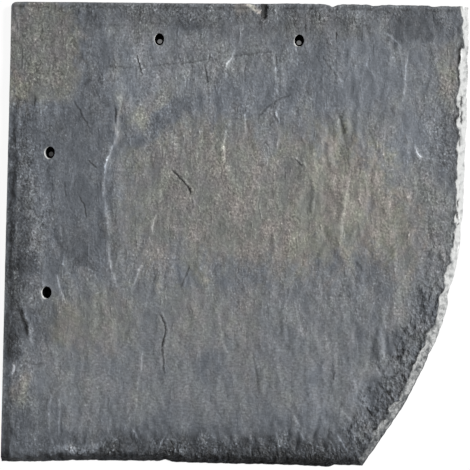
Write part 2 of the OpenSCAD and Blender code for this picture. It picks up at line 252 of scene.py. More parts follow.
# Patches of the face's colour: centre, half sizes, lean in degrees, softness of the rim, and what they add:
# lightness in sRGB steps, and warmth, of which -1 makes the stone blue-grey and 1 brown-grey
PATCHES = [
    (11.5, 145.5, 5.5, 1.3, 10, 0.4, 58, 1.3),
    (8.1, 145.9, 2.0, 1.2, 0, 0.4, 34, 0.5),
    (3, 145.5, 5, 4.5, 0, 0.5, 6, 1.2),
    (-128, 116.2, 25, 37, 0, 0.20, -3, 1.0),
    (-143, 91.2, 9, 10, 0, 0.30, 6, 0.6),
    (-103, 31.2, 22, 58, -3, 0.22, -16, -0.7),
    (-103, 71.2, 18, 16, 0, 0.50, -3, -0.3),
    (-104, -12.8, 17, 15, 0, 0.40, -9, -0.3),
    (-94, 121.2, 9, 28, -4, 0.30, -16, -0.5),
    (-96, 139, 10, 6, 0, 0.4, -9, -0.6),
    (-92, 92, 9, 10, 0, 0.4, -7, -0.7),
    (-88, 84, 6, 12, -20, 0.4, -9, -0.5),
    (-108, 74, 9, 8, 0, 0.4, -5, -0.6),
    (-62, 74, 5, 8, 40, 0.5, 6, 0.5),
    (136, 104, 5, 20, 0, 0.5, 4, 0.7),
    (-76, 82, 1.6, 18, 0, 0.5, 14, 0.5),
    # These two are the painted highlight along the inner side of the hung side's margin
    (-142, 86, 1.5, 14, 0, 0.5, 14, 0.3),
    (-142, 40, 1.4, 32, 0, 0.5, 14, 0.1),
    (71, 56, 3.2, 13, 0, 0.6, -14, 0.1),
    (76, 62, 3, 12, 0, 0.6, 8, 0.2),
    (-6, -70, 2.2, 18, -15, 0.6, 5, 0.1),
    (97, -68.5, 2.6, 9, 8, 0.6, 15, 0.0),
    (90.5, -73, 3.0, 8, 8, 0.6, -20, -0.2),
    (-62, -103, 5, 5, 0, 0.6, 5, 0.6),
    (-122, -58, 9, 10, 0, 0.5, -8, -0.2),
    (-131, 0, 6, 26, 0, 0.60, -6, -0.1),
    (-124, 12, 3, 24, 0, 0.6, 8, 0.0),
    (-134, -22, 8, 5, 0, 0.3, -20, -0.6),
    (-96, -22, 7, 5, 0, 0.3, -11, -0.8),
    (-142, -76, 5, 12, 0, 0.4, -14, -0.3),
    (-79, 62, 2.2, 5.5, -15, 0.5, 20, 0.4),
    (65.8, 12, 2.2, 18, -3, 0.5, -14, -0.3),
    (43, -58, 3, 5, -20, 0.6, 9, 0.2),
    (53, -86, 4, 7, 0, 0.6, 8, 0.0),
    (53, -105, 4, 6, -20, 0.6, 8, 0.0),
    (25, -70, 3, 5, 0, 0.6, 7, 0.0),
    (50, 121, 36, 9, 0, 0.6, -5, -0.1),
    (-136, 54.2, 12, 26, 0, 0.40, -12, -0.5),
    (-141, -8.8, 8, 28, 0, 0.5, -14, 0.0),
    (-137.2, -102.0, 4.6, 7, 0, 0.5, 9, 0.9),
    (-66, 103.2, 13, 22, 6, 0.5, 8, -0.2),
    (-54, 84, 6, 18, 42, 0.5, 11, 0.6),
    (-49, 73.5, 25, 6, -33, 0.4, -12, -1.0),
    (-34, 84, 10, 7, 0, 0.5, -5, -0.4),
    (73, -18, 2.8, 12, -18, 0.5, 10, 0.2),
    (66.5, -14, 2.0, 9, 0, 0.5, -9, -0.2),
    (-40, 102, 10, 8, 0, 0.6, 7, 0.0),
    (-120, 81, 12, 9, 0, 0.5, 9, 0.0),
    (-80, 33, 7, 22, 0, 0.5, 9, -0.3),
    (50, 119, 18, 9, 0, 0.6, -10, -0.1),
    (-141, 12, 8, 80, 0, 0.6, -13, -0.1),
    (100, -36, 9, 10, 0, 0.6, -11, -0.3),
    (90, -60, 14, 8, 0, 0.6, -8, -0.2),
    (20, -100, 12, 10, 0, 0.6, -8, -0.1),
    (61, -99, 8, 10, 0, 0.6, -9, 0.0),
    (82, -105, 6, 16, 0, 0.6, 10, 0.0),
    (20, 42, 10, 12, 0, 0.6, 8, 0.0),
    (19, 61, 7, 9, 0, 0.5, 0, -0.9),
    (-38, -14, 6, 14, 0, 0.5, -3, -0.7),
    (68, 62, 10, 10, 0, 0.6, 6, 0.3),
    (-42, 138.2, 16, 9, 0, 0.5, -14, -0.3),
    (-5, 138.2, 30, 8, 0, 0.6, -9, -0.1),
    (-62, 136.2, 9, 9, 0, 0.5, -8, 0.1),
    (48, 137.2, 26, 9, 0, 0.6, -13, 0.2),
    (114, 138.5, 13.5, 11.5, 0, 0.20, -26, -0.7),
    (136, 139.2, 8, 12, 0, 0.5, -9, -0.4),
    (72, 107.2, 42, 22, 0, 0.6, 3, -0.5),
    (112, 61.2, 13, 20, 20, 0.6, 10, -0.4),
    (15, 87.2, 40, 14, 0, 0.6, -4, -0.5),
    (6, 24.2, 88, 48, 0, 0.3, 5, 1.1),
    (92, 15.2, 46, 36, 0, 0.4, 5, 0.5),
    (105, 1.2, 16, 24, 0, 0.5, 0, 0.5),
    (-52, 32, 30, 40, -14, 0.4, -3, -0.2),
    (50, 99.2, 18, 10, 0, 0.5, -11, 0.0),
    (140, 94.2, 7, 32, 0, 0.5, 0, 0.4),
    (-118, -60.8, 10, 10, 0, 0.6, -10, 0.0),
    (-134, -122.8, 18, 14, 0, 0.6, -13, -0.2),
    (-10, -122.8, 130, 11, 0, 0.7, -4, -0.1),
    (0, 142.2, 150, 7, 0, 0.6, -9, 0.0),
    (57, 49.2, 9, 17, 10, 0.6, 11, 0.3),
    (87, 41.2, 6, 30, 20, 0.6, 8, 0.4),
    (71, 17.2, 3, 22, 0, 0.5, 15, 0.6),
    (97, 9.2, 12, 20, 0, 0.7, 6, 0.3),
    (43, -10.8, 8, 12, -20, 0.6, 5, 0.8),
    (37, 43.2, 9, 10, 0, 0.6, -12, -0.3),
    (137, 59.2, 7, 22, 0, 0.5, -10, -0.4),
    (8, -24, 20, 10, 0, 0.6, -9, -0.6),
    (55, -17.8, 12, 8, 0, 0.6, -8, -0.5),
    (88, -20.8, 14, 9, -20, 0.6, -12, -0.5),
    (108, -40.8, 6, 17, 8, 0.6, 12, 0.6),
    (108, -68, 9, 13, -12, 0.5, -14, -0.3),
    (125, -42.8, 5, 14, -10, 0.5, -16, -0.3),
    (94, -107, 10, 12, -34, 0.5, -14, -0.4),
    (57, -103.8, 9, 18, 0, 0.7, 7, -0.2),
    (80, -95.8, 5, 10, 0, 0.7, 8, 0.0),
    (-92, -58.8, 27, 20, 0, 0.4, 2, 0.8),
    (-108, -60.8, 8, 12, 0, 0.6, 5, 0.5),
    (-25, -52.8, 22, 22, 0, 0.5, 3, 0.6),
    (10, -62.8, 7, 30, 6, 0.5, -3, 0.4),
    (-15, -88.8, 8, 16, 6, 0.6, -9, -0.3),
    (32, -122.8, 44, 10, 0, 0.7, -6, -0.2),
    (-50, -126.8, 24, 9, 0, 0.7, -5, -0.2),
    (-112, -142.1, 8, 2.0, 0, 0.4, 26, 0.3),
    (-99.2, -140.2, 10, 2.0, 0, 0.4, 30, 0.3),
    (-132, -149.6, 18, 1.5, 0, 0.6, 14, 0.4),
    (-88, -136.8, 6, 1.5, 0, 0.4, 30, 0.2),
    (-145.2, -92.4, 1.1, 3.0, 0, 0.8, 120, 0.0),
    (-76.5, -137, 9, 6, 0, 0.6, -6, -0.9),
    (-6.6, 110.5, 1.7, 6, 28, 0.6, 9, 0.0),
    (-142, -58, 8, 26, 6, 0.35, -18, -0.1),
]
# How square the patches are, from 2, an ellipse, upwards
PATCH_SQUARE = 2.8
# Their outlines wander across and up, by this much over this length, and are torn at two sizes
PATCH_WANDER = [(3.0, 26), (4.5, 34)]
PATCH_TORN = [(0.16, 15), (0.10, 5)]
# The face's mean lightness, which the patches' lightness is added to, and the darkest that it gets
MEAN_STEP = 115.0
DARKEST_STEP = 12.0
# Power that turns a share of sRGB steps to a share of light
SRGB_POWER = 2.2
# The face's warmth outside the patches
PLAIN_WARMTH = -0.5
# Patches where the grain is coarser or finer than on the rest: centre, half sizes, change
COARSE_PATCHES = [
    (-103, 19.2, 20, 60, -0.2),
    (-136, -0.8, 16, 160, 0.5),
    (-130, 12, 11, 40, 0.4),
    (-60, 119.2, 90, 34, 0.2),
    (-95, 115, 10, 35, -0.25),
    (-56, 82, 12, 12, 0.6),
    (114, 138, 14, 12, -0.5),
    (137, 72, 7, 35, 0.7),
    (0, 147, 150, 6, 0.6),
    (90, 99.2, 40, 40, -0.2),
    (0, -95, 130, 50, -0.55),
    (130, 39.2, 14, 100, 0.4),
    (20, 145.2, 130, 8, 0.4),
    (-130, 114.2, 24, 36, 0.4),
    (8, -143, 92, 10, 2.2),
    (-102, -141, 18, 3, 1.6),
    (-130, -142, 14, 4, 0.6),
    (42, 141, 26, 8, 0.5),
    (-16, 42, 64, 32, 0.22),
    (-141, 20, 8, 120, 0.3),
]
# Patches where the face is crumpled: centre, half sizes, strength over that of the rest
CRUMPLED_PATCHES = [
    (97, -72, 9, 18, 1.6),
    (60, -132, 44, 10, 1.2),
    (-20, -136.8, 90, 8, 0.6),
    (70, 29.2, 26, 60, 0.5),
    (128, -30.8, 12, 40, 0.8),
    (30, 99.2, 60, 40, 0.2),
    (-103, 9.2, 18, 70, -0.4),
    (-60, -95.8, 50, 30, -0.2),
    (55, -72, 42, 52, 0.6),
]
# Patches of grain and crumpling fade between these shares of their half sizes
PATCH_FADE = (0.4, 1.4)
# Weathered strip along the head: width, darkness of the line under it and of its edge in sRGB steps
HEAD_RIM = (2.7, 34.0, 18.0)
# Half width of that line, how far unevenness moves it, and where the dark edge fades
HEAD_LINE_HALF = 0.75
HEAD_LINE_SWAY = 0.5
HEAD_EDGE_SPAN = (0.2, 0.9)
# Unevenness of the head's strip and of the hung side's margin: mean, depth and length
MARGIN_UNEVEN = (0.7, 0.6, 9)
# The foot's darkening is darker stone with painted shade, where the foot falls away from the light
# The face darkens towards the foot: between these distances from it, in sRGB steps at places along it
FOOT_SHADE_SPAN = (7.0, 28.0)
FOOT_SHADE = [(-150, 18), (-120, 22), (-100, 34), (-85, 44), (-70, 46), (-30, 50), (0, 56), (35, 62),
              (60, 56), (85, 28)]
# A darker band at the foot's edge: more of the same, darker stone with painted shade
FOOT_EDGE_SPAN = (5.0, 8.5)
FOOT_EDGE_SHADE = [(-150, 28), (-100, 22), (-70, 6), (-40, 18), (0, 13), (35, 12), (85, 12)]
# The foot's shade is torn by this much over this length, stretched up the face, and less at its edge
FOOT_TORN = (5.5, 9)
FOOT_TORN_STRETCH = 0.4
FOOT_EDGE_TORN = 0.3
# Warmth that the foot's shade takes away
FOOT_COOLS = 0.6
# Chips along the foot make it uneven: up to this distance from it, with their strength at places along it
FOOT_ROUGH_SPAN = (5.0, 11.0)
FOOT_ROUGH = [(-150, 0.15), (-120, 0.3), (-85, 0.4), (-55, 0.6), (-40, 1.2), (0, 1.1), (85, 1.1)]
# The darkening next to the dressing is painted shade
# The face is uneven and a little darker next to the dressing: over this width, in full up to a share of it,
# torn by this much over this length, with its shade and roughness along the dressed edge
ARCH_SHADE_WIDTH = 32.0
ARCH_SHADE_FULL = 0.4
ARCH_TORN = (8, 11)
ARCH_SHADE = [(0, 2), (120, 4), (170, 4), (190, 0), (215, 8), (242, 8), (267, 16), (300, 9), (320, 9)]
ARCH_ROUGH = [(0, 0.08), (120, 0.12), (175, 0.3), (205, 0.8), (235, 1.0), (290, 1.0), (320, 0.8)]
# How much more the roughness next to the dressing crumples the face
ARCH_CRUMPLE = 1.2
# The margin's darkness is painted shade, and its paler inner line a painted highlight
# Dark margin of the hung side: sRGB steps at distances from the edge, with a paler line along its inner side
HUNG_SHADE = [(0, 4), (1, 9), (2, 20), (3, 32), (4, 35), (5, 31), (6, 16), (7, -4), (8, 8), (9, 12), (11, 8),
              (15, 0)]
HUNG_SHADE_ALONG = [(-150, 1.0), (-125, 1.0), (-105, 0.8), (-85, 0.9), (-40, 1.0), (0, 1.0), (45, 0.9),
                    (75, 0.35), (90, 0.0), (105, -0.25)]
# The margin's streaks: depth, length, and pace across and along it
HUNG_STREAKS = (0.5, 8, 3, 0.4)
# Steps of the margin's darkness that take away one of warmth
HUNG_COOLS = 50
# The foot's flutes: how far they run up the face and how they lean, with their strength along the foot
FLUTE_REACH = 15.0
FLUTE_LEAN = 0.55
FLUTES = [(-150, 0.04), (-80, 0.12), (0, 0.45), (40, 1.2), (90, 1.6)]
# Width of the dressed band, at places along the dressed edge from the head
DRESSED_WIDTH = [(0, 5.6), (45, 6.4), (54, 7.6), (72, 7.6), (84, 5.8), (110, 5.6), (135, 7.0), (170, 7.0),
                 (195, 6.8), (216, 8.6), (240, 7.2), (275, 7.6), (290, 6.2), (320, 5.0)]
# Width of the dressed band along the foot
FOOT_WIDTH = 5.2
# The wall's darkening below is a painted shadow under the arch's edge
# The wall under the dressed band, this near to the edge, is dark: sRGB steps along the edge from the head
ARRIS_REACH = 3
ARRIS_SHADE = [(0, 0), (195, 0), (225, 60), (320, 60)]
# The pale bruise is partly painted light, palest where the edge faces the key, fading as the arch turns away
# Strength of the pale bruise that the dressing leaves, at places along the dressed edge from the head
BRUISE = [(0, 0.95), (60, 0.82), (117, 0.92), (150, 0.84), (190, 0.74), (215, 0.62), (240, 0.48),
          (275, 0.40), (295, 0.24), (320, 0.18)]


def linear(hex_colour):
    """An sRGB hex colour as a linear RGBA value."""
    parts = [int(hex_colour[i:i + 2], 16) / 255 for i in (1, 3, 5)]
    return [c / 12.92 if c <= 0.04045 else ((c + 0.055) / 1.055) ** 2.4 for c in parts] + [1.0]


def add(tree, kind, links=None, **settings):
    """Adds a node with its settings, and links or sets its inputs. A node stands for its first output."""
    node = tree.nodes.new(kind)
    for name, value in settings.items():
        setattr(node, name, value)
    for key, source in (links or {}).items():
        if isinstance(source, bpy.types.Node):
            source = source.outputs[0]
        if isinstance(source, bpy.types.NodeSocket):
            tree.links.new(source, node.inputs[key])
        else:
            node.inputs[key].default_value = source
    return node


def along_line(points, at):
    """Values of a line through given points."""
    places, values = zip(*points)
    return np.interp(at, places, values)


def smooth(low, high, value):
    """Goes from 0 at low to 1 at high with no corner."""
    share = np.clip((value - low) / (high - low), 0, 1)
    return share * share * (3 - 2 * share)


# Plan of the plate

ARCH_Y = HIGH[1] - ARCH_START
ARCH_X = HIGH[0] - ARCH_R


def dressed_x(y):
    """Nominal edge of the dressed side and arch at a height on the plate."""
    below = np.maximum(ARCH_Y - y, 0)
    return ARCH_X + np.sqrt(ARCH_R ** 2 - below ** 2)


def along_dressed(x, y):
    """Length along the dressed edge from the head to the place nearest to a point."""
    turn = np.arctan2(np.maximum(ARCH_Y - y, 0), x - ARCH_X)
    return np.where(y > ARCH_Y, HIGH[1] - y, ARCH_START + ARCH_R * turn)


def from_dressed(x, y):
    """Distance from the dressed edge, square to it."""
    straight = HIGH[0] - x
    arched = ARCH_R - np.hypot(x - ARCH_X, y - ARCH_Y)
    return np.where(y > ARCH_Y, straight, arched) - along_line(DRESSED_INSET, y)


def from_foot(x, y):
    """Distance from the foot."""
    return y - LOW[1] - along_line(FOOT_INSET, x)


def from_head(x, y):
    """Distance from the head."""
    return HIGH[1] - along_line(HEAD_INSET, x) - y


def from_hung(x, y):
    """Distance from the hung side."""
    return x - LOW[0] - along_line(HUNG_INSET, y)


def wander(x, y, size, seed):
    """A soft random wave between about -1 and 1, made of a few sines in all directions."""
    draw = np.random.default_rng(seed)
    wave = np.zeros(np.shape(x))
    for octave in range(3):
        for _ in range(6):
            angle, phase = draw.uniform(0, 2 * math.pi, 2)
            pace = 2 * math.pi / size * 2 ** octave * draw.uniform(0.7, 1.3)
            wave += np.sin(pace * (x * math.cos(angle) + y * math.sin(angle)) + phase) / 2 ** octave
    return wave / 4


def ragged(size, at, seed):
    """How far in an uneven edge lies at a place along it."""
    depth, length = size
    return depth * np.clip(0.5 + wander(at, 0 * at, length, seed), 0, 2)


def plan_place(across, up, lowest=False):
    """Place of a grid point, given as shares of the width and height, on the face or on the underside."""
    foot_inset = FOOT_LAYER_INSET if lowest else FOOT_INSET
    y = LOW[1] + up * HEIGHT
    x = LOW[0] + across * (dressed_x(y) - LOW[0])
    fade_foot = np.clip(1 - up * HEIGHT / INSET_REACH, 0, 1) ** 2
    fade_head = np.clip(1 - (1 - up) * HEIGHT / INSET_REACH, 0, 1) ** 2
    foot_in = along_line(foot_inset, x) + ragged(FOOT_RAGGED, x, SEED + 3)
    head_in = along_line(HEAD_INSET, x) + ragged(HEAD_RAGGED, x, SEED + 4) * smooth(*HEAD_RAGGED_SPAN, x)
    y = y + foot_in * fade_foot - head_in * fade_head
    right = dressed_x(y) - along_line(DRESSED_INSET, y) - ragged(DRESSED_RAGGED, y, SEED + 5)
    if not lowest:
        right = right - along_line(ARRIS_OUT, along_dressed(right, y))
    left = LOW[0] + along_line(HUNG_INSET, y)
    return left + across * (right - left), y


def round_corner(x, y):
    """Rounds the corner between head and hung side by drawing a small square in to a quarter disc."""
    corner_x = LOW[0] + along_line(HUNG_INSET, HIGH[1]) + CORNER_R
    corner_y = HIGH[1] - along_line(HEAD_INSET, LOW[0]) - CORNER_R
    out_x = np.clip((corner_x - x) / CORNER_R, 0, 1)
    out_y = np.clip((y - corner_y) / CORNER_R, 0, 1)
    inside = (out_x > 0) & (out_y > 0)
    x = np.where(inside, corner_x - CORNER_R * out_x * np.sqrt(1 - out_y ** 2 / 2), x)
    y = np.where(inside, corner_y + CORNER_R * out_y * np.sqrt(1 - out_x ** 2 / 2), y)
    return x, y


def grid_shares(length, fine_start, fine_end):
    """Places of grid lines as shares of a length, closer together in the bands at its ends."""
    start = np.linspace(0, fine_start, round(fine_start / FINE_STEP), endpoint=False)
    end = np.linspace(length - fine_end, length, round(fine_end / FINE_STEP) + 1)
    middle_span = length - fine_start - fine_end
    middle = np.linspace(fine_start, length - fine_end, round(middle_span / GRID_STEP), endpoint=False)
    return np.concatenate([start, middle, end]) / length


# The plain plate: face grid, nail holes, walls and underside

def make_plate():
    """A plate of even thickness with the plan's outline and its nail holes, and no relief yet."""
    columns = grid_shares(WIDTH, FINE_HUNG, FINE_DRESSED)
    rows = grid_shares(HEIGHT, FINE_FOOT, FINE_HEAD)
    across, up = np.meshgrid(columns, rows)
    x, y = round_corner(*plan_place(across, up))
    number = np.arange(x.size).reshape(x.shape)
    open_cell = np.zeros((len(rows) - 1, len(columns) - 1), bool)
    unused = np.zeros(x.shape, bool)
    bores = []
    first_ring, last_ring = min(NAIL_RINGS), max(NAIL_RINGS)
    for hole_x, hole_y in NAIL_PLACES:
        j, i = np.unravel_index(np.argmin(np.hypot(x - hole_x, y - hole_y)), x.shape)
        open_cell[j - first_ring:j + first_ring, i - first_ring:i + first_ring] = True
        unused[j - first_ring + 1:j + first_ring, i - first_ring + 1:i + first_ring] = True
        bore = []
        for dj in range(-last_ring, last_ring + 1):
            for di in range(-last_ring, last_ring + 1):
                ring = max(abs(dj), abs(di))
                if ring < first_ring:
                    continue
                turn = math.atan2(dj, di)
                loose = NAIL_RING_LOOSE[ring]
                at = (j + dj, i + di)
                longer = POCKET_MORE / 2 * (1 + math.sin(turn))
                x[at] = loose * x[at] + (1 - loose) * (hole_x + NAIL_RINGS[ring] * math.cos(turn))
                y[at] = loose * y[at] + (1 - loose) * (hole_y + NAIL_RINGS[ring] * math.sin(turn) + longer)
                if ring == first_ring:
                    wall = (number[at], hole_x + NAIL_R * math.cos(turn), hole_y + NAIL_R * math.sin(turn))
                    bore.append((turn, wall))
        bores.append([wall for _, wall in sorted(bore)])

    points = [(px, py, THICK) for px, py in zip(x.flat, y.flat)]
    faces = []
    for j in range(len(rows) - 1):
        for i in range(len(columns) - 1):
            if not open_cell[j, i]:
                faces.append((number[j, i], number[j, i + 1], number[j + 1, i + 1], number[j + 1, i]))

    rim = list(number[0, :]) + list(number[1:, -1]) + list(number[-1, -2::-1]) + list(number[-2:0:-1, 0])
    low_x, low_y = round_corner(*plan_place(across, up, lowest=True))
    loops = [(rim, [(low_x.flat[k], low_y.flat[k]) for k in rim], WALL_LEVELS, True)]
    for bore in bores:
        loops.append(([wall[0] for wall in bore], [wall[1:] for wall in bore], POCKET_LEVELS, False))
    floors = []
    for loop, low_places, levels, outer in loops:
        upper = loop
        for share, down in levels:
            lower = []
            for k, (end_x, end_y) in zip(loop, low_places):
                lower.append(len(points))
                points.append((points[k][0] + share * (end_x - points[k][0]),
                               points[k][1] + share * (end_y - points[k][1]), THICK * (1 - down)))
            for a in range(len(loop)):
                b = (a + 1) % len(loop)
                wall = (upper[a], lower[a], lower[b], upper[b])
                faces.append(wall if outer else wall[::-1])
            upper = lower
        floors.append(upper)
    flat = [k for floor in floors for k in floor]
    for triangle in tessellate_polygon([[Vector(points[k][:2] + (0,)) for k in floor] for floor in floors]):
        a, b, c = (flat[k] for k in triangle)
        ab, ac = np.subtract(points[b], points[a]), np.subtract(points[c], points[a])
        down = ab[0] * ac[1] - ab[1] * ac[0] < 0
        faces.append((a, b, c) if down else (a, c, b))

    keep = np.ones(len(points), bool)
    keep[:unused.size] = ~unused.ravel()
    renumber = np.cumsum(keep) - 1
    points = np.array(points)[keep]
    mesh = bpy.data.meshes.new("shingle")
    mesh.from_pydata(points * MM, [], [[int(renumber[k]) for k in face] for face in faces])
    return mesh, points


def store(mesh, name, values):
    """Keeps one number for each point of a mesh."""
    mesh.attributes.new(name, "FLOAT", "POINT").data.foreach_set("value", np.asarray(values, np.float32))


def measure_plate(mesh, points):
    """Keeps what the relief needs to know of each point: how far it is from each edge and bore."""
    x, y = points[:, 0], points[:, 1]
    along = along_dressed(x, y)
    store(mesh, "from_dressed", from_dressed(x, y) - along_line(ARRIS_OUT, along))
    store(mesh, "along_dressed", along)
    store(mesh, "from_foot", from_foot(x, y))
    store(mesh, "from_head", from_head(x, y))
    store(mesh, "from_hung", from_hung(x, y))
    store(mesh, "from_bore", np.min([np.hypot(x - hx, y - hy) for hx, hy in NAIL_PLACES], axis=0))
    spalled = []
    for (hole_x, hole_y), share in zip(NAIL_PLACES, SPALL_SHARES):
        off_x = x - hole_x - share * SPALL_OFFSET[0]
        off_y = y - hole_y - share * SPALL_OFFSET[1] - POCKET_MORE / 2
        apart = np.hypot(off_x, off_y * POCKET_R / (POCKET_R + POCKET_MORE / 2))
        spalled.append(POCKET_R + (apart - POCKET_R) / share)
    store(mesh, "from_spall", np.min(spalled, axis=0))
    store(mesh, "bruise_strength", along_line(BRUISE, along))
    store(mesh, "scar_width", along_line(DRESSED_WIDTH, along))
    store(mesh, "foot_width", np.full(len(points), FOOT_WIDTH))


def patch_place(x, y):
    """Places moved about a little, which gives the patches uneven outlines."""
    (far_x, length_x), (far_y, length_y) = PATCH_WANDER
    return x + far_x * wander(x, y, length_x, SEED), y + far_y * wander(x, y, length_y, SEED + 1)


def foot_tear(x, y):
    """How far the foot's shade is torn, along its flutes."""
    far, length = FOOT_TORN
    return far * wander(x + FLUTE_LEAN * y, FOOT_TORN_STRETCH * y, length, SEED + 10)


def arch_share(x, y):
    """Goes from 1 next to the dressing to 0 where the even face begins."""
    far, length = ARCH_TORN
    torn_edge = from_dressed(x, y) + far * wander(x, y, length, SEED + 9)
    return 1 - smooth(ARCH_SHADE_FULL * ARCH_SHADE_WIDTH, ARCH_SHADE_WIDTH, torn_edge)


def paint_plate(mesh, points):
    """Keeps each point's lightness and warmth: patches, and painted shade and highlights along the edges."""
    x, y, z = points.T
    patch_x, patch_y = patch_place(x, y)
    (coarse_tear, coarse_length), (fine_tear, fine_length) = PATCH_TORN
    torn = (coarse_tear * wander(patch_x, patch_y, coarse_length, SEED + 7)
            + fine_tear * wander(patch_x, patch_y, fine_length, SEED + 8))
    lightness = np.zeros(len(points))
    warmth = np.full(len(points), PLAIN_WARMTH)
    for cx, cy, half_x, half_y, lean, rim, light, warm in PATCHES:
        turn = math.radians(lean)
        u = np.abs((patch_x - cx) * math.cos(turn) - (patch_y - cy) * math.sin(turn)) / half_x
        v = np.abs((patch_x - cx) * math.sin(turn) + (patch_y - cy) * math.cos(turn)) / half_y
        apart = (u ** PATCH_SQUARE + v ** PATCH_SQUARE) ** (1 / PATCH_SQUARE)
        share = 1 - smooth(1 - rim, 1 + rim, apart + torn)
        lightness += light * share
        warmth += warm * share

    # Head: a dark line under the weathered strip, and a dark edge
    mean, depth, length = MARGIN_UNEVEN
    uneven = mean + depth * wander(x, y, length, SEED + 6)
    strip, line_steps, edge_steps = HEAD_RIM
    off_line = (from_head(x, y) - strip - HEAD_LINE_SWAY * uneven) / HEAD_LINE_HALF
    lightness -= line_steps * uneven * np.exp(-off_line ** 2)
    lightness -= edge_steps * (1 - smooth(*HEAD_EDGE_SPAN, from_head(x, y)))

    # Painted shade at the foot, over darker stone, and by the dressing on the face and the wall below
    tear = foot_tear(x, y)
    foot_share = 1 - smooth(*FOOT_SHADE_SPAN, from_foot(x, y) + tear)
    foot_edge = 1 - smooth(*FOOT_EDGE_SPAN, from_foot(x, y) + FOOT_EDGE_TORN * tear)
    lightness -= along_line(FOOT_SHADE, x) * foot_share
    lightness -= along_line(FOOT_EDGE_SHADE, x) * foot_edge
    warmth -= FOOT_COOLS * foot_share
    along = along_dressed(x, y)
    lightness -= along_line(ARCH_SHADE, along) * arch_share(x, y)
    on_wall = (z < THICK) & (from_dressed(x, y) < ARRIS_REACH)
    lightness -= along_line(ARRIS_SHADE, along) * on_wall

    # Hung side's margin: painted shade, with a painted highlight along its inner side
    streak, length, pace_x, pace_y = HUNG_STREAKS
    streaky = 1 + streak * wander(pace_x * x, pace_y * y, length, SEED + 11)
    hung_steps = along_line(HUNG_SHADE, from_hung(x, y) + uneven - mean) * along_line(HUNG_SHADE_ALONG, y)
    lightness -= hung_steps * streaky
    warmth -= np.maximum(hung_steps, 0) / HUNG_COOLS

    under = z == 0
    lightness = np.where(under, 0, np.maximum(lightness, DARKEST_STEP - MEAN_STEP))
    warmth = np.where(under, PLAIN_WARMTH, warmth)
    store(mesh, "lightness", ((MEAN_STEP + lightness) / MEAN_STEP) ** SRGB_POWER)
    store(mesh, "warmth", np.clip(warmth * 0.5 + 0.5, 0, 1))


def roughen_plate(mesh, points):
    """Keeps how coarse, rough, crumpled and fluted the stone is at each point."""
    x, y, z = points.T
    patch_x, patch_y = patch_place(x, y)
    arch_rough = along_line(ARCH_ROUGH, along_dressed(x, y)) * arch_share(x, y)
    chips_end = smooth(*FOOT_ROUGH_SPAN, from_foot(x, y) + FOOT_EDGE_TORN * foot_tear(x, y))
    foot_rough = along_line(FOOT_ROUGH, x) * (1 - chips_end)
    coarseness = np.ones(len(points))
    crumple = 1 + ARCH_CRUMPLE * arch_rough
    for value, patches in ((coarseness, COARSE_PATCHES), (crumple, CRUMPLED_PATCHES)):
        for cx, cy, half_x, half_y, change in patches:
            apart = np.hypot((patch_x - cx) / half_x, (patch_y - cy) / half_y)
            value += change * (1 - smooth(*PATCH_FADE, apart))
    under = z == 0
    store(mesh, "coarseness", np.where(under, 1, coarseness))
    store(mesh, "rough", np.where(under, 0, np.maximum(arch_rough, foot_rough)))
    store(mesh, "crumple", crumple)
    store(mesh, "flute", along_line(FLUTES, x))


def make_marks(name, marks, sizes):
    """The paths of ledges or cracks as strings of points, with their sizes kept on the points."""
    points, edges, kept = [], [], []
    for first, second, third, path in marks:
        for k, place in enumerate(path):
            if k:
                edges.append((len(points) - 1, len(points)))
            points.append((place[0] * MM, place[1] * MM, 0))
            kept.append((first, second, third))
    mesh = bpy.data.meshes.new(name)
    mesh.from_pydata(points, edges, [])
    for size, values in zip(sizes, zip(*kept)):
        store(mesh, size, values)
    marks_object = bpy.data.objects.new(name, mesh)
    bpy.context.scene.collection.objects.link(marks_object)
    return marks_object


# Relief of the face and the dressed edges, as a node tree

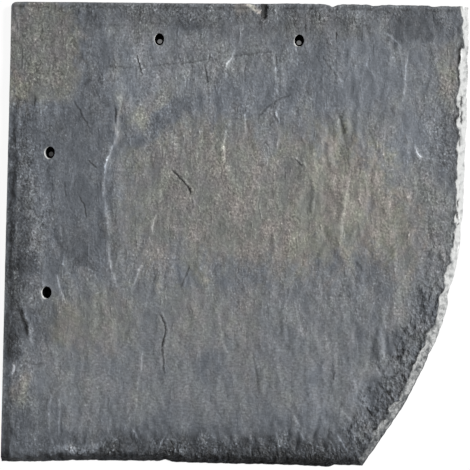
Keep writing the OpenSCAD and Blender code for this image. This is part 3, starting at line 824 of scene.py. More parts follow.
def nearest_mark_group():
    """For each point, the nearest place on a set of paths: its sizes, how far it is and on which side."""
    tree = bpy.data.node_groups.new("nearest mark", "GeometryNodeTree")
    sockets = tree.interface
    sockets.new_socket("Marks", in_out="INPUT", socket_type="NodeSocketObject")
    for size in ("First Size", "Second Size", "Third Size"):
        sockets.new_socket(size, in_out="INPUT", socket_type="NodeSocketString")
    sockets.new_socket("Jag", in_out="INPUT", socket_type="NodeSocketFloat")
    for output in ("First", "Second", "Third", "Side", "Distance"):
        sockets.new_socket(output, in_out="OUTPUT", socket_type="NodeSocketFloat")
    given = add(tree, "NodeGroupInput").outputs
    paths = add(tree, "GeometryNodeObjectInfo", {"Object": given["Marks"]})
    curves = add(tree, "GeometryNodeMeshToCurve", {"Mesh": paths.outputs["Geometry"]})
    round_paths = add(tree, "GeometryNodeCurveSplineType", {"Curve": curves}, spline_type="CATMULL_ROM")
    fine = add(tree, "GeometryNodeResampleCurve", {"Curve": round_paths, "Length": MARK_STEP * MM},
               mode="LENGTH")
    spot = add(tree, "GeometryNodeSplineParameter").outputs["Factor"]
    rise = add(tree, "ShaderNodeMapRange", {"Value": spot, "From Max": MARK_TAPER},
               interpolation_type="SMOOTHSTEP")
    fall = add(tree, "ShaderNodeMapRange", {"Value": spot, "From Min": 1.0, "From Max": 1 - MARK_TAPER},
               interpolation_type="SMOOTHSTEP")
    taper = add(tree, "ShaderNodeMath", {0: rise, 1: fall}, operation="MULTIPLY")
    tapered = add(tree, "GeometryNodeStoreNamedAttribute",
                  {"Geometry": fine, "Name": "taper", "Value": taper}, data_type="FLOAT")
    tangent = add(tree, "GeometryNodeInputTangent")
    headed = add(tree, "GeometryNodeStoreNamedAttribute",
                 {"Geometry": tapered, "Name": "heading", "Value": tangent}, data_type="FLOAT_VECTOR")
    spots = add(tree, "GeometryNodeCurveToPoints", {"Curve": headed}, mode="EVALUATED").outputs["Points"]
    place = add(tree, "GeometryNodeInputPosition")
    jag_at = add(tree, "ShaderNodeTexNoise",
                 {"Vector": place, "Scale": 1 / (JAG_SIZE * MM), "Detail": 3.0, "Roughness": 0.6})
    jag = add(tree, "ShaderNodeVectorMath", {0: jag_at.outputs["Color"], 1: (-0.5, -0.5, -0.5)},
              operation="ADD")
    jag_m = add(tree, "ShaderNodeVectorMath", {0: jag, "Scale": given["Jag"]}, operation="SCALE")
    jagged = add(tree, "ShaderNodeVectorMath", {0: place, 1: jag_m}, operation="ADD")
    flat = add(tree, "ShaderNodeVectorMath", {0: jagged, 1: (1, 1, 0)}, operation="MULTIPLY")
    nearest = add(tree, "GeometryNodeSampleNearest", {"Geometry": spots, "Sample Position": flat})
    taken = {}
    for name, source, kind in (
            ("First", given["First Size"], "FLOAT"), ("Second", given["Second Size"], "FLOAT"),
            ("Third", given["Third Size"], "FLOAT"), ("taper", "taper", "FLOAT"),
            ("heading", "heading", "FLOAT_VECTOR")):
        read = add(tree, "GeometryNodeInputNamedAttribute", {"Name": source}, data_type=kind)
        taken[name] = add(tree, "GeometryNodeSampleIndex",
                          {"Geometry": spots, "Value": read, "Index": nearest}, data_type=kind)
    at = add(tree, "GeometryNodeSampleIndex",
             {"Geometry": spots, "Value": place, "Index": nearest}, data_type="FLOAT_VECTOR")
    offset = add(tree, "ShaderNodeVectorMath", {0: flat, 1: at}, operation="SUBTRACT")
    offset_mm = add(tree, "ShaderNodeVectorMath", {0: offset, "Scale": 1 / MM}, operation="SCALE")
    turned = add(tree, "ShaderNodeVectorMath", {0: taken["heading"], 1: offset_mm},
                 operation="CROSS_PRODUCT")
    side = add(tree, "ShaderNodeSeparateXYZ", {0: turned})
    distance = add(tree, "ShaderNodeVectorMath", {0: offset_mm}, operation="LENGTH")
    size = add(tree, "ShaderNodeMath", {0: taken["First"], 1: taken["taper"]}, operation="MULTIPLY")
    line = add(tree, "ShaderNodeMath", {0: taken["Third"], 1: taken["taper"]}, operation="MULTIPLY")
    add(tree, "NodeGroupOutput", {"First": size, "Second": taken["Second"], "Third": line,
                                  "Side": side.outputs["Z"], "Distance": distance.outputs["Value"]})
    return tree


# Steps that the layers' wave is cut into, and share of a step that is flat
LAYER_STEPS = 9.0
LAYER_TREAD = 0.6
# The face's mean level under the plate's full thickness, and the least height that is left anywhere
FACE_DROP = 0.75
LEAST_HEIGHT = 0.6
# Flake scars: how unevenly they are spaced, power of their bowed ends, share of the band's width that all of
# them reach, unevenness of that reach, and width of the dark rim past them
# The rim past the scars is painted dark: partly darker stone, partly painted shade
SCAR_RANDOM = 0.85
SCAR_BOW = 0.6
SCAR_REACH = 0.85
SCAR_UNEVEN = 1.6
SCAR_RIM = 3.0
# Most that a scar bows out past that reach, along the dressed side and along the foot
SCAR_BOWING = 0.18
FOOT_BOWING = 0.50
# Waves per millimetre: the scars' roughness, the unevenness of their reach, and the layers of the walls
ROUGH_PACE = 0.55
UNEVEN_PACE = 0.10
WALL_PACE = (0.12, 0.12, 1.3)
# The walls' layers fade out above and below these shares of the thickness
WALL_TOP = 0.8
WALL_BOTTOM = 0.1

RELIEF_SIZES = {
    "Thickness": THICK,
    "Swell Height": 1.50, "Swell Width": 24.0, "Swell Length": 46.0,
    "Layer Height": 0.10, "Layer Width": 13.0, "Layer Length": 44.0,
    "Wrinkle Height": 1.60, "Wrinkle Width": 6.1, "Wrinkle Length": 14.5,
    "Grain Height": 0.40, "Grain Width": 2.5, "Grain Length": 3.0,
    "Flute Height": 4.2, "Flute Width": 3.6, "Flute Length": 26.0, "Flute Reach": FLUTE_REACH,
    "Ledge Strength": 1.6, "Lip Width": 1.3,
    "Margin Width": 7.5, "Margin Drop": 0.8,
    "Head Bevel": 1.0,
    "Scar Pitch": 17.0, "Scar Wall": 1.4, "Scar Hollow": 0.5, "Scar Roughness": 3.0,
    "Foot Pitch": 4.2, "Foot Wall": 0.8,
    "Pocket Radius": POCKET_R, "Spall Radius": SPALL_R, "Spall Depth": SPALL_DEPTH,
    "Wall Roughness": 0.35,
}


def relief_tree():
    """Gives the plain plate its riven face, ledges, cracks, dressed edges and chipped nail holes."""
    tree = bpy.data.node_groups.new("riven shingle", "GeometryNodeTree")
    sockets = tree.interface
    sockets.new_socket("Geometry", in_out="INPUT", socket_type="NodeSocketGeometry")
    for name in RELIEF_SIZES:
        sockets.new_socket(name, in_out="INPUT", socket_type="NodeSocketFloat")
    for name, kind in (("Seed", "Float"), ("Ledges", "Object"), ("Cracks", "Object"),
                       ("Material", "Material")):
        sockets.new_socket(name, in_out="INPUT", socket_type="NodeSocket" + kind)
    sockets.new_socket("Geometry", in_out="OUTPUT", socket_type="NodeSocketGeometry")
    given = add(tree, "NodeGroupInput").outputs

    # Place in millimetres, and share of the thickness: 1 on the face, 0 on the underside
    place = add(tree, "GeometryNodeInputPosition")
    place_mm = add(tree, "ShaderNodeVectorMath", {0: place, "Scale": 1 / MM}, operation="SCALE")
    parts = add(tree, "ShaderNodeSeparateXYZ", {0: place_mm}).outputs
    share = add(tree, "ShaderNodeMath", {0: parts["Z"], 1: given["Thickness"]}, operation="DIVIDE")
    known = {}
    for name in ("from_dressed", "along_dressed", "from_foot", "from_head", "from_hung", "from_bore",
                 "from_spall", "bruise_strength", "scar_width", "foot_width", "coarseness", "crumple",
                 "flute"):
        read = add(tree, "GeometryNodeInputNamedAttribute", {"Name": name}, data_type="FLOAT")
        known[name] = read.outputs["Attribute"]

    # Waves of the face: broad swells, low layers, wrinkles, fine grain, and flutes that lean
    waves = {}
    up_foot = add(tree, "ShaderNodeMath", {0: parts["Y"], 1: float(-LOW[1])}, operation="ADD")
    leaning = add(tree, "ShaderNodeMath", {0: up_foot, 1: FLUTE_LEAN, 2: parts["X"]},
                  operation="MULTIPLY_ADD")
    for kind, run, detail in (("Swell", parts["X"], 2.0), ("Layer", parts["X"], 3.0),
                              ("Wrinkle", parts["X"], 2.0), ("Grain", parts["X"], 3.0),
                              ("Flute", leaning, 2.0)):
        wave_x = add(tree, "ShaderNodeMath", {0: run, 1: given[kind + " Width"]}, operation="DIVIDE")
        wave_y = add(tree, "ShaderNodeMath", {0: parts["Y"], 1: given[kind + " Length"]},
                     operation="DIVIDE")
        at = add(tree, "ShaderNodeCombineXYZ", {0: wave_x, 1: wave_y, 2: given["Seed"]})
        noise = add(tree, "ShaderNodeTexNoise",
                    {"Vector": at, "Scale": 1.0, "Detail": detail, "Distortion": 0.7})
        waves[kind] = add(tree, "ShaderNodeMath", {0: noise.outputs["Fac"], 1: -0.5}, operation="ADD")
    near_foot = add(tree, "ShaderNodeMapRange",
                    {"Value": known["from_foot"], "From Max": given["Flute Reach"], "To Min": 1.0,
                     "To Max": 0.0}, interpolation_type="SMOOTHSTEP")
    fluted = add(tree, "ShaderNodeMath", {0: near_foot, 1: known["flute"]}, operation="MULTIPLY")
    relief = add(tree, "ShaderNodeMath", {0: waves["Swell"], 1: given["Swell Height"]},
                 operation="MULTIPLY")
    for kind, strength in (("Grain", known["coarseness"]), ("Wrinkle", known["crumple"]),
                           ("Flute", fluted)):
        wave = add(tree, "ShaderNodeMath", {0: waves[kind], 1: given[kind + " Height"]},
                   operation="MULTIPLY")
        relief = add(tree, "ShaderNodeMath", {0: wave, 1: strength, 2: relief}, operation="MULTIPLY_ADD")
    level = add(tree, "ShaderNodeMath", {0: waves["Layer"], 1: LAYER_STEPS}, operation="MULTIPLY")
    tread = add(tree, "ShaderNodeMath", {0: level}, operation="FLOOR")
    part_way = add(tree, "ShaderNodeMath", {0: level}, operation="FRACT")
    riser = add(tree, "ShaderNodeMapRange", {"Value": part_way, "From Min": LAYER_TREAD},
                interpolation_type="SMOOTHSTEP")
    step = add(tree, "ShaderNodeMath", {0: tread, 1: riser}, operation="ADD")
    relief = add(tree, "ShaderNodeMath", {0: step, 1: given["Layer Height"], 2: relief},
                 operation="MULTIPLY_ADD")

    # Ledges: the face rises a little to a lip, falls sharply across it and rises back
    mark_group = nearest_mark_group()
    ledge = add(tree, "GeometryNodeGroup",
                {"Marks": given["Ledges"], "First Size": "fall", "Second Size": "reach",
                 "Third Size": "line", "Jag": LEDGE_JAG * MM}, node_tree=mark_group)
    half_lip = add(tree, "ShaderNodeMath", {0: given["Lip Width"], 1: 0.5}, operation="MULTIPLY")
    other_lip = add(tree, "ShaderNodeMath", {0: given["Lip Width"], 1: -0.5}, operation="MULTIPLY")
    across = add(tree, "ShaderNodeMapRange",
                 {"Value": ledge.outputs["Side"], "From Min": other_lip, "From Max": half_lip,
                  "To Min": 0.5, "To Max": -0.5}, interpolation_type="SMOOTHSTEP")
    fade = add(tree, "ShaderNodeMapRange",
               {"Value": ledge.outputs["Distance"], "From Max": ledge.outputs["Second"],
                "To Min": 1.0, "To Max": 0.0}, interpolation_type="SMOOTHSTEP")
    ledge_share = add(tree, "ShaderNodeMath", {0: across, 1: fade}, operation="MULTIPLY")
    ledge_fall = add(tree, "ShaderNodeMath", {0: ledge.outputs["First"], 1: given["Ledge Strength"]},
                     operation="MULTIPLY")
    relief = add(tree, "ShaderNodeMath", {0: ledge_share, 1: ledge_fall, 2: relief},
                 operation="MULTIPLY_ADD")

    # Cracks: narrow grooves
    crack = add(tree, "GeometryNodeGroup",
                {"Marks": given["Cracks"], "First Size": "depth", "Second Size": "half_width",
                 "Third Size": "line", "Jag": CRACK_JAG * MM}, node_tree=mark_group)
    groove = add(tree, "ShaderNodeMapRange",
                 {"Value": crack.outputs["Distance"], "From Max": crack.outputs["Second"],
                  "To Min": 1.0, "To Max": 0.0}, interpolation_type="SMOOTHSTEP")
    groove_mm = add(tree, "ShaderNodeMath", {0: groove, 1: crack.outputs["First"]}, operation="MULTIPLY")
    relief = add(tree, "ShaderNodeMath", {0: relief, 1: groove_mm}, operation="SUBTRACT")

    # The hung side's sloping margin, the head's bevel and the mouths of the nail holes
    for gap, start, end, depth in (
            (known["from_hung"], 0.0, "Margin Width", "Margin Drop"),
            (known["from_head"], 0.0, "Head Bevel", "Head Bevel"),
            (known["from_spall"], given["Pocket Radius"], "Spall Radius", "Spall Depth")):
        drop = add(tree, "ShaderNodeMath", {0: given[depth], 1: -1.0}, operation="MULTIPLY")
        slope = add(tree, "ShaderNodeMapRange", {"Value": gap, "From Min": start, "From Max": given[end],
                                                 "To Min": drop, "To Max": 0.0})
        relief = add(tree, "ShaderNodeMath", {0: relief, 1: slope}, operation="ADD")

    # The face stays under the plate's full thickness
    top = add(tree, "ShaderNodeMath", {0: relief, 1: given["Thickness"]}, operation="ADD")
    lowered = add(tree, "ShaderNodeMath", {0: top, 1: -FACE_DROP}, operation="ADD")
    height = add(tree, "ShaderNodeMath", {0: lowered, 1: given["Thickness"]}, operation="MINIMUM")

    # Flake scars along the dressed side and the foot: hollows side by side, with ridges between them
    rough_at = add(tree, "ShaderNodeTexNoise", {"Vector": place_mm, "Scale": ROUGH_PACE, "Detail": 3.0})
    rough = add(tree, "ShaderNodeMath", {0: rough_at.outputs["Fac"], 1: -0.5}, operation="ADD")
    ripple_at = add(tree, "ShaderNodeTexNoise", {"Vector": place_mm, "Scale": UNEVEN_PACE, "Detail": 5.0})
    ripple = add(tree, "ShaderNodeMath", {0: ripple_at.outputs["Fac"], 1: -0.5}, operation="ADD")
    rough_mm = add(tree, "ShaderNodeMath", {0: rough, 1: given["Scar Roughness"]}, operation="MULTIPLY")
    inside, rims = {}, {}
    for edge, gap, run, width, bowing in (
            ("Scar", known["from_dressed"], known["along_dressed"], known["scar_width"], SCAR_BOWING),
            ("Foot", known["from_foot"], parts["X"], known["foot_width"], FOOT_BOWING)):
        turn = add(tree, "ShaderNodeMath", {0: run, 1: given[edge + " Pitch"]}, operation="DIVIDE")
        spot = add(tree, "ShaderNodeMath", {0: turn, 1: given["Seed"]}, operation="ADD")
        cell = add(tree, "ShaderNodeTexVoronoi", {"W": spot, "Scale": 1.0, "Randomness": SCAR_RANDOM},
                   voronoi_dimensions="1D", feature="F1")
        brink = add(tree, "ShaderNodeTexVoronoi", {"W": spot, "Scale": 1.0, "Randomness": SCAR_RANDOM},
                    voronoi_dimensions="1D", feature="DISTANCE_TO_EDGE").outputs["Distance"]
        drawn = add(tree, "ShaderNodeSeparateXYZ", {0: cell.outputs["Color"]})
        full = add(tree, "ShaderNodeMath", {0: cell.outputs["Distance"], 1: brink}, operation="ADD")
        middle = add(tree, "ShaderNodeMath", {0: brink, 1: full}, operation="DIVIDE")
        bowed = add(tree, "ShaderNodeMath", {0: middle, 1: SCAR_BOW}, operation="POWER")
        drawn_size = add(tree, "ShaderNodeMapRange", {"Value": drawn, "To Min": 0.0, "To Max": bowing})
        reach = add(tree, "ShaderNodeMath", {0: bowed, 1: drawn_size, 2: SCAR_REACH},
                    operation="MULTIPLY_ADD")
        uneven = add(tree, "ShaderNodeMath", {0: ripple, 1: SCAR_UNEVEN, 2: reach},
                     operation="MULTIPLY_ADD")
        reach_mm = add(tree, "ShaderNodeMath", {0: uneven, 1: width}, operation="MULTIPLY")
        run_in = add(tree, "ShaderNodeMath", {0: gap, 1: reach_mm}, operation="DIVIDE", use_clamp=True)
        wall = given[edge + " Wall"]
        rise = add(tree, "ShaderNodeMath", {0: given["Thickness"], 1: wall}, operation="SUBTRACT")
        slope = add(tree, "ShaderNodeMath", {0: run_in, 1: rise, 2: wall}, operation="MULTIPLY_ADD")
        left = add(tree, "ShaderNodeMath", {0: 1.0, 1: run_in}, operation="SUBTRACT")
        bow = add(tree, "ShaderNodeMath", {0: left, 1: run_in}, operation="MULTIPLY")
        deep = add(tree, "ShaderNodeMath", {0: bow, 1: -4.0}, operation="MULTIPLY")
        hollow = add(tree, "ShaderNodeMath", {0: deep, 1: given["Scar Hollow"], 2: slope},
                     operation="MULTIPLY_ADD")
        chipped = add(tree, "ShaderNodeMath", {0: left, 1: rough_mm, 2: hollow}, operation="MULTIPLY_ADD")
        height = add(tree, "ShaderNodeMath", {0: height, 1: chipped}, operation="MINIMUM")
        inside[edge] = add(tree, "ShaderNodeMapRange", {"Value": run_in, "From Min": 1.0, "From Max": 0.9})
        past = add(tree, "ShaderNodeMath", {0: gap, 1: reach_mm}, operation="SUBTRACT")
        rims[edge] = add(tree, "ShaderNodeMapRange", {"Value": past, "From Min": SCAR_RIM, "From Max": 0.0})
    floor_height = add(tree, "ShaderNodeMath", {0: height, 1: LEAST_HEIGHT}, operation="MAXIMUM")
    raised = add(tree, "ShaderNodeMath", {0: floor_height, 1: share}, operation="MULTIPLY")

    # Split layers on the upright walls, drawn in along the wall's own direction
    normal = add(tree, "GeometryNodeInputNormal")
    upright = add(tree, "ShaderNodeVectorMath", {0: normal, 1: (1, 1, 0)}, operation="MULTIPLY")
    layer_at = add(tree, "ShaderNodeVectorMath", {0: place_mm, 1: WALL_PACE}, operation="MULTIPLY")
    layer = add(tree, "ShaderNodeTexNoise", {"Vector": layer_at, "Scale": 1.0, "Detail": 3.0})
    below_face = add(tree, "ShaderNodeMapRange", {"Value": share, "From Min": 1.0, "From Max": WALL_TOP})
    above_floor = add(tree, "ShaderNodeMapRange", {"Value": share, "From Min": 0.0, "From Max": WALL_BOTTOM})
    on_wall = add(tree, "ShaderNodeMath", {0: below_face, 1: above_floor}, operation="MULTIPLY")
    clear_of_bore = add(tree, "ShaderNodeMath", {0: known["from_bore"], 1: 2 * POCKET_R},
                        operation="GREATER_THAN")
    wall_share = add(tree, "ShaderNodeMath", {0: on_wall, 1: clear_of_bore}, operation="MULTIPLY")
    inward = add(tree, "ShaderNodeMath", {0: layer.outputs["Fac"], 1: given["Wall Roughness"]},
                 operation="MULTIPLY")
    inward_mm = add(tree, "ShaderNodeMath", {0: inward, 1: wall_share}, operation="MULTIPLY")
    inward_m = add(tree, "ShaderNodeMath", {0: inward_mm, 1: -MM}, operation="MULTIPLY")
    push = add(tree, "ShaderNodeVectorMath", {0: upright, "Scale": inward_m}, operation="SCALE")

    # New places, and what the slate's colours need to know
    raised_m = add(tree, "ShaderNodeMath", {0: raised, 1: MM}, operation="MULTIPLY")
    plan = add(tree, "ShaderNodeSeparateXYZ", {0: place})
    new_place = add(tree, "ShaderNodeCombineXYZ", {0: plan.outputs["X"], 1: plan.outputs["Y"], 2: raised_m})
    bruised = add(tree, "ShaderNodeMath", {0: inside["Scar"], 1: known["bruise_strength"]},
                  operation="MULTIPLY")
    on_face = add(tree, "ShaderNodeMath", {0: share, 1: 0.99}, operation="GREATER_THAN")
    # The spalled side of each hole's mouth is painted pale, partly as a painted highlight
    spalled = add(tree, "ShaderNodeMapRange",
                  {"Value": known["from_spall"], "From Min": given["Spall Radius"],
                   "From Max": given["Pocket Radius"]})
    pale = add(tree, "ShaderNodeMath", {0: bruised, 1: spalled}, operation="MAXIMUM")
    bruised_face = add(tree, "ShaderNodeMath", {0: pale, 1: on_face}, operation="MULTIPLY")
    crack_at = add(tree, "ShaderNodeMath", {0: crack.outputs["Side"], 1: crack.outputs["Second"]},
                   operation="DIVIDE")
    # Pocket walls, which the slate darkens as painted shade in the nail holes
    in_pocket = add(tree, "ShaderNodeMath", {0: 1.0, 1: clear_of_bore}, operation="SUBTRACT")
    below = add(tree, "ShaderNodeMath", {0: 1.0, 1: on_face}, operation="SUBTRACT")
    pocket = add(tree, "ShaderNodeMath", {0: in_pocket, 1: below}, operation="MULTIPLY")
    above_under = add(tree, "ShaderNodeMath", {0: share, 1: 0.01}, operation="GREATER_THAN")
    geometry = given["Geometry"]
    for name, value in (("bruise", bruised_face), ("pocket", pocket),
                        ("ledge_at", ledge.outputs["Side"]), ("ledge_line", ledge.outputs["Third"]),
                        ("crack_at", crack_at), ("crack_depth", crack.outputs["First"]),
                        ("crack_line", crack.outputs["Third"]), ("fluted", fluted),
                        ("rim", rims["Scar"]), ("broken", inside["Foot"])):
        plain_under = add(tree, "ShaderNodeMath", {0: value, 1: above_under}, operation="MULTIPLY")
        geometry = add(tree, "GeometryNodeStoreNamedAttribute",
                       {"Geometry": geometry, "Name": name, "Value": plain_under}, data_type="FLOAT")
    moved = add(tree, "GeometryNodeSetPosition",
                {"Geometry": geometry, "Position": new_place, "Offset": push})
    real = add(tree, "GeometryNodeRealizeInstances", {"Geometry": moved})
    clad = add(tree, "GeometryNodeSetMaterial", {"Geometry": real, "Material": given["Material"]})
    add(tree, "NodeGroupOutput", {"Geometry": clad})
    return tree


# Riven slate: fine mica grain split along its layers, matt to satin, blue-grey where fresh and brown-grey
# where weathered, with a chalky pale bruise where its edge was dressed
# Its pale bruise is the dressing's chalky colour and partly a painted highlight on the lit dressed edge
FRESH_STONE = "#6b7077"
OLIVE_STONE = "#72736a"
MAUVE_STONE = "#76716d"
BRUISE_PIT = "#55585a"
BRUISE_PALE = "#c4c5c4"
# Grain: width and height in millimetres, and detail. The finest are drawn coarser than real mica, to show
GRAINS = {
    "cloud": (11, 17, 5.0), "tint": (10, 13, 4.0), "flake": (4.4, 5.2, 4.0), "strand": (3.0, 7.0, 3.0),
    "speck": (1.5, 1.65, 3.0), "glint_specks": (1.2, 1.4, 0.0), "chip": (4.2, 4.2, 5.0), "leaf": (2.0, 3.8, 4.0),
    "pebble": (2.3, 3.0, 5.0), "dust": (2.1, 1.35, 3.0),
}
# Contrast of the grain's lightness: the clouds, the coarse grain, the leaves by the foot, and rough edges
CLOUD_DEPTH = 0.60
COARSE_DEPTHS = {"flake": 0.74, "strand": 0.10, "speck": 1.25}
# The leaves and pebbles are painted lighter on their tops and darker in their hollows: painted light and
# shade
LEAF_DEPTH = 2.2
PEBBLE_DEPTH = 4.5
# How far the clouds change the warmth, and how coarse the grain is
CLOUD_WARMTH = 0.95
CLOUD_COARSE = 2.6
# Fine relief in millimetres: a step between layers, with the share of it that is flat, and each grain
STEP_MM = 0.09
STEP_TREAD = 0.85
STRAND_MM = 0.10
SPECK_MM = 0.33
LEAF_MM = 1.6
PEBBLE_MM = 3.0
# Strokes strewn over the face: width and height of the cell that holds one, and share of cells without one
STROKE_SIZES = [(8.0, 16.0, 0.5), (5.0, 8.0, 0.55)]
STROKE_LEAN = (-0.12, 0.22)
# Fine stone, between these values of coarseness, has weaker strokes and more of an even dust
FINE_STONE = (0.5, 0.95)
LEAST_STROKE = 0.35
DUST_DEPTH = 1.3
# These lines are painted: highlights along ledges and by cracks and strokes, shade in cracks and strokes
# Lines along ledges, cracks and strokes: where the middle is, half width, and change of lightness
LEDGE_PAINTED_LINE = (0.0, 0.85, 1.0)
CRACK_SHADE_LINE = (0.0, 0.9, -1.7)
CRACK_HIGHLIGHT_LINE = (1.4, 0.8, 1.4)
STROKE_SHADE = (0.0, 0.6, -0.55)
STROKE_LIGHT = (0.9, 0.7, 0.6)
# Least light that a line leaves, and how ragged lines are, in millimetres by flakes and specks
LEAST_LIGHT = 0.06
RAGGED_FLAKE = 1.8
RAGGED_SPECK = 1.2
# Ranges of a grain's value, and what they give: the tint of warm stone, how fitful the ledges' lines are,
# how dark the scars' rim is, how bright the sparkles are, and the roughness
TINT = {"From Min": -0.12, "From Max": 0.12}
FITFUL = {"From Min": -0.10, "From Max": 0.14, "To Min": 0.4, "To Max": 1.4}
# The scars' rim is partly darker stone and partly painted shade
RIM_DARK_AND_SHADE = {"From Min": -0.02, "From Max": 0.10, "To Min": 0.1, "To Max": 0.9}
# The sparkles are painted glints on the mica's specks
GLINT_SPECKS_RANGE = {"From Min": 0.14, "From Max": 0.30, "To Min": 0.0, "To Max": 0.55}
ROUGHNESS = {"From Min": -0.2, "From Max": 0.2, "To Min": 0.50, "To Max": 0.72}
# The bruise: how far its strength lifts the chips' grain, the range of that from pits to pale, and the
# strength from which it hides the stone
BRUISE_LIFT = 0.45
PALE = {"From Min": 0.06, "From Max": 0.40}
BRUISE_FULL = 0.25
# Share of colour left by painted shade in pockets and on the darker broken foot, and how matt the foot is
BROKEN_DARK_AND_SHADE = 0.75
POCKET_SHADE_GAIN = 0.02
BROKEN_MATT = 0.6
# Shine where the slate isn't matt, and its index of refraction
SHINE = 0.5
STONE_IOR = 1.5


def make_slate():
    """The slate's material, from the colours kept on the plate and from grain at real sizes."""
    material = bpy.data.materials.new("riven_slate")
    material.use_nodes = True
    tree = material.node_tree
    tree.nodes.clear()
    place = add(tree, "ShaderNodeTexCoord").outputs["Object"]
    kept = {}
    for name in ("lightness", "warmth", "coarseness", "rough", "fluted", "bruise", "pocket", "ledge_at",
                 "ledge_line", "crack_at", "crack_depth", "crack_line", "rim", "broken"):
        kept[name] = add(tree, "ShaderNodeAttribute", attribute_name=name).outputs["Fac"]

    # Grain, of which the leaves lean as the foot's flutes do
    parts = add(tree, "ShaderNodeSeparateXYZ", {0: place}).outputs
    leaning_x = add(tree, "ShaderNodeMath", {0: parts["Y"], 1: FLUTE_LEAN, 2: parts["X"]},
                    operation="MULTIPLY_ADD")
    leaning_place = add(tree, "ShaderNodeCombineXYZ", {0: leaning_x, 1: parts["Y"]})
    grains = {}
    for kind, (size_x, size_y, detail) in GRAINS.items():
        where = leaning_place if kind == "leaf" else place
        pace = (1 / (size_x * MM), 1 / (size_y * MM), 1 / (size_x * MM))
        scaled = add(tree, "ShaderNodeVectorMath", {0: where, 1: pace}, operation="MULTIPLY")
        noise = add(tree, "ShaderNodeTexNoise", {"Vector": scaled, "Scale": 1.0, "Detail": detail})
        grains[kind] = add(tree, "ShaderNodeMath", {0: noise.outputs["Fac"], 1: -0.5}, operation="ADD")

    # Colour: blue-grey to brown-grey, which is olive in places and mauve in others
    warm = add(tree, "ShaderNodeMath", {0: grains["cloud"], 1: CLOUD_WARMTH, 2: kept["warmth"]},
               operation="MULTIPLY_ADD", use_clamp=True)
    tint = add(tree, "ShaderNodeMapRange", {"Value": grains["tint"], **TINT})
    warm_stone = add(tree, "ShaderNodeMix", {"Factor": tint, 6: linear(OLIVE_STONE), 7: linear(MAUVE_STONE)},
                     data_type="RGBA")
    stone = add(tree, "ShaderNodeMix", {"Factor": warm, 6: linear(FRESH_STONE), 7: warm_stone.outputs[2]},
                data_type="RGBA")

    # Short strokes strewn over the face, upright or leaning a little: the edges of thin flakes
    # Each stroke is a painted shade line with a painted highlight beside it
    fine_start, fine_end = FINE_STONE
    stroke_share = add(tree, "ShaderNodeMapRange",
                       {"Value": kept["coarseness"], "From Min": fine_start, "From Max": fine_end,
                        "To Min": LEAST_STROKE, "To Max": 1.0})
    strewn = []
    for size_x, size_y, limit in STROKE_SIZES:
        pace = (1 / (size_x * MM), 1 / (size_y * MM), 0)
        scaled = add(tree, "ShaderNodeVectorMath", {0: place, 1: pace}, operation="MULTIPLY")
        cell = add(tree, "ShaderNodeTexVoronoi", {"Vector": scaled, "Scale": 1.0}, voronoi_dimensions="2D")
        offset = add(tree, "ShaderNodeVectorMath", {0: scaled, 1: cell.outputs["Position"]},
                     operation="SUBTRACT")
        off = add(tree, "ShaderNodeSeparateXYZ", {0: offset}).outputs
        drawn = add(tree, "ShaderNodeSeparateXYZ", {0: cell.outputs["Color"]})
        least_lean, most_lean = (lean * size_y / size_x for lean in STROKE_LEAN)
        lean = add(tree, "ShaderNodeMapRange",
                   {"Value": drawn.outputs[1], "To Min": least_lean, "To Max": most_lean})
        leaning = add(tree, "ShaderNodeMath", {0: off["Y"], 1: lean, 2: off["X"]}, operation="MULTIPLY_ADD")
        at = add(tree, "ShaderNodeMath", {0: leaning, 1: size_x}, operation="MULTIPLY")
        far = add(tree, "ShaderNodeMath", {0: off["Y"]}, operation="ABSOLUTE")
        taper = add(tree, "ShaderNodeMapRange", {"Value": far, "From Min": 0.5, "From Max": 0.0})
        strength = add(tree, "ShaderNodeMapRange", {"Value": drawn, "From Min": limit, "To Max": 1.0})
        squared = add(tree, "ShaderNodeMath", {0: strength, 1: 2.0}, operation="POWER")
        tapered = add(tree, "ShaderNodeMath", {0: squared, 1: taper}, operation="MULTIPLY")
        weakened = add(tree, "ShaderNodeMath", {0: tapered, 1: stroke_share}, operation="MULTIPLY")
        strewn.append((at, weakened))

    # Ragged painted highlights and shade along the ledges, cracks and strokes
    by_flake = add(tree, "ShaderNodeMath", {0: grains["flake"], 1: RAGGED_FLAKE}, operation="MULTIPLY")
    ragged_mm = add(tree, "ShaderNodeMath", {0: grains["speck"], 1: RAGGED_SPECK, 2: by_flake},
                    operation="MULTIPLY_ADD")
    fitful = add(tree, "ShaderNodeMapRange", {"Value": grains["flake"], **FITFUL})
    ledge_line = add(tree, "ShaderNodeMath", {0: kept["ledge_line"], 1: fitful}, operation="MULTIPLY")
    lines = [(kept["ledge_at"], ledge_line, LEDGE_PAINTED_LINE),
             (kept["crack_at"], kept["crack_depth"], CRACK_SHADE_LINE),
             (kept["crack_at"], kept["crack_line"], CRACK_HIGHLIGHT_LINE)]
    for at, strength in strewn:
        lines += [(at, strength, STROKE_SHADE), (at, strength, STROKE_LIGHT)]
    line_gains = []
    for at, strength, (middle, half, change) in lines:
        ragged_at = add(tree, "ShaderNodeMath", {0: at, 1: ragged_mm}, operation="ADD")
        off_line = add(tree, "ShaderNodeMath", {0: ragged_at, 1: middle}, operation="SUBTRACT")
        apart = add(tree, "ShaderNodeMath", {0: off_line}, operation="ABSOLUTE")
        on_line = add(tree, "ShaderNodeMapRange", {"Value": apart, "From Min": half, "From Max": 0.0},
                      interpolation_type="SMOOTHSTEP")
        amount = add(tree, "ShaderNodeMath", {0: on_line, 1: strength}, operation="MULTIPLY")
        changed = add(tree, "ShaderNodeMath", {0: amount, 1: change, 2: 1.0}, operation="MULTIPLY_ADD")
        line_gains.append(add(tree, "ShaderNodeMath", {0: changed, 1: LEAST_LIGHT}, operation="MAXIMUM"))
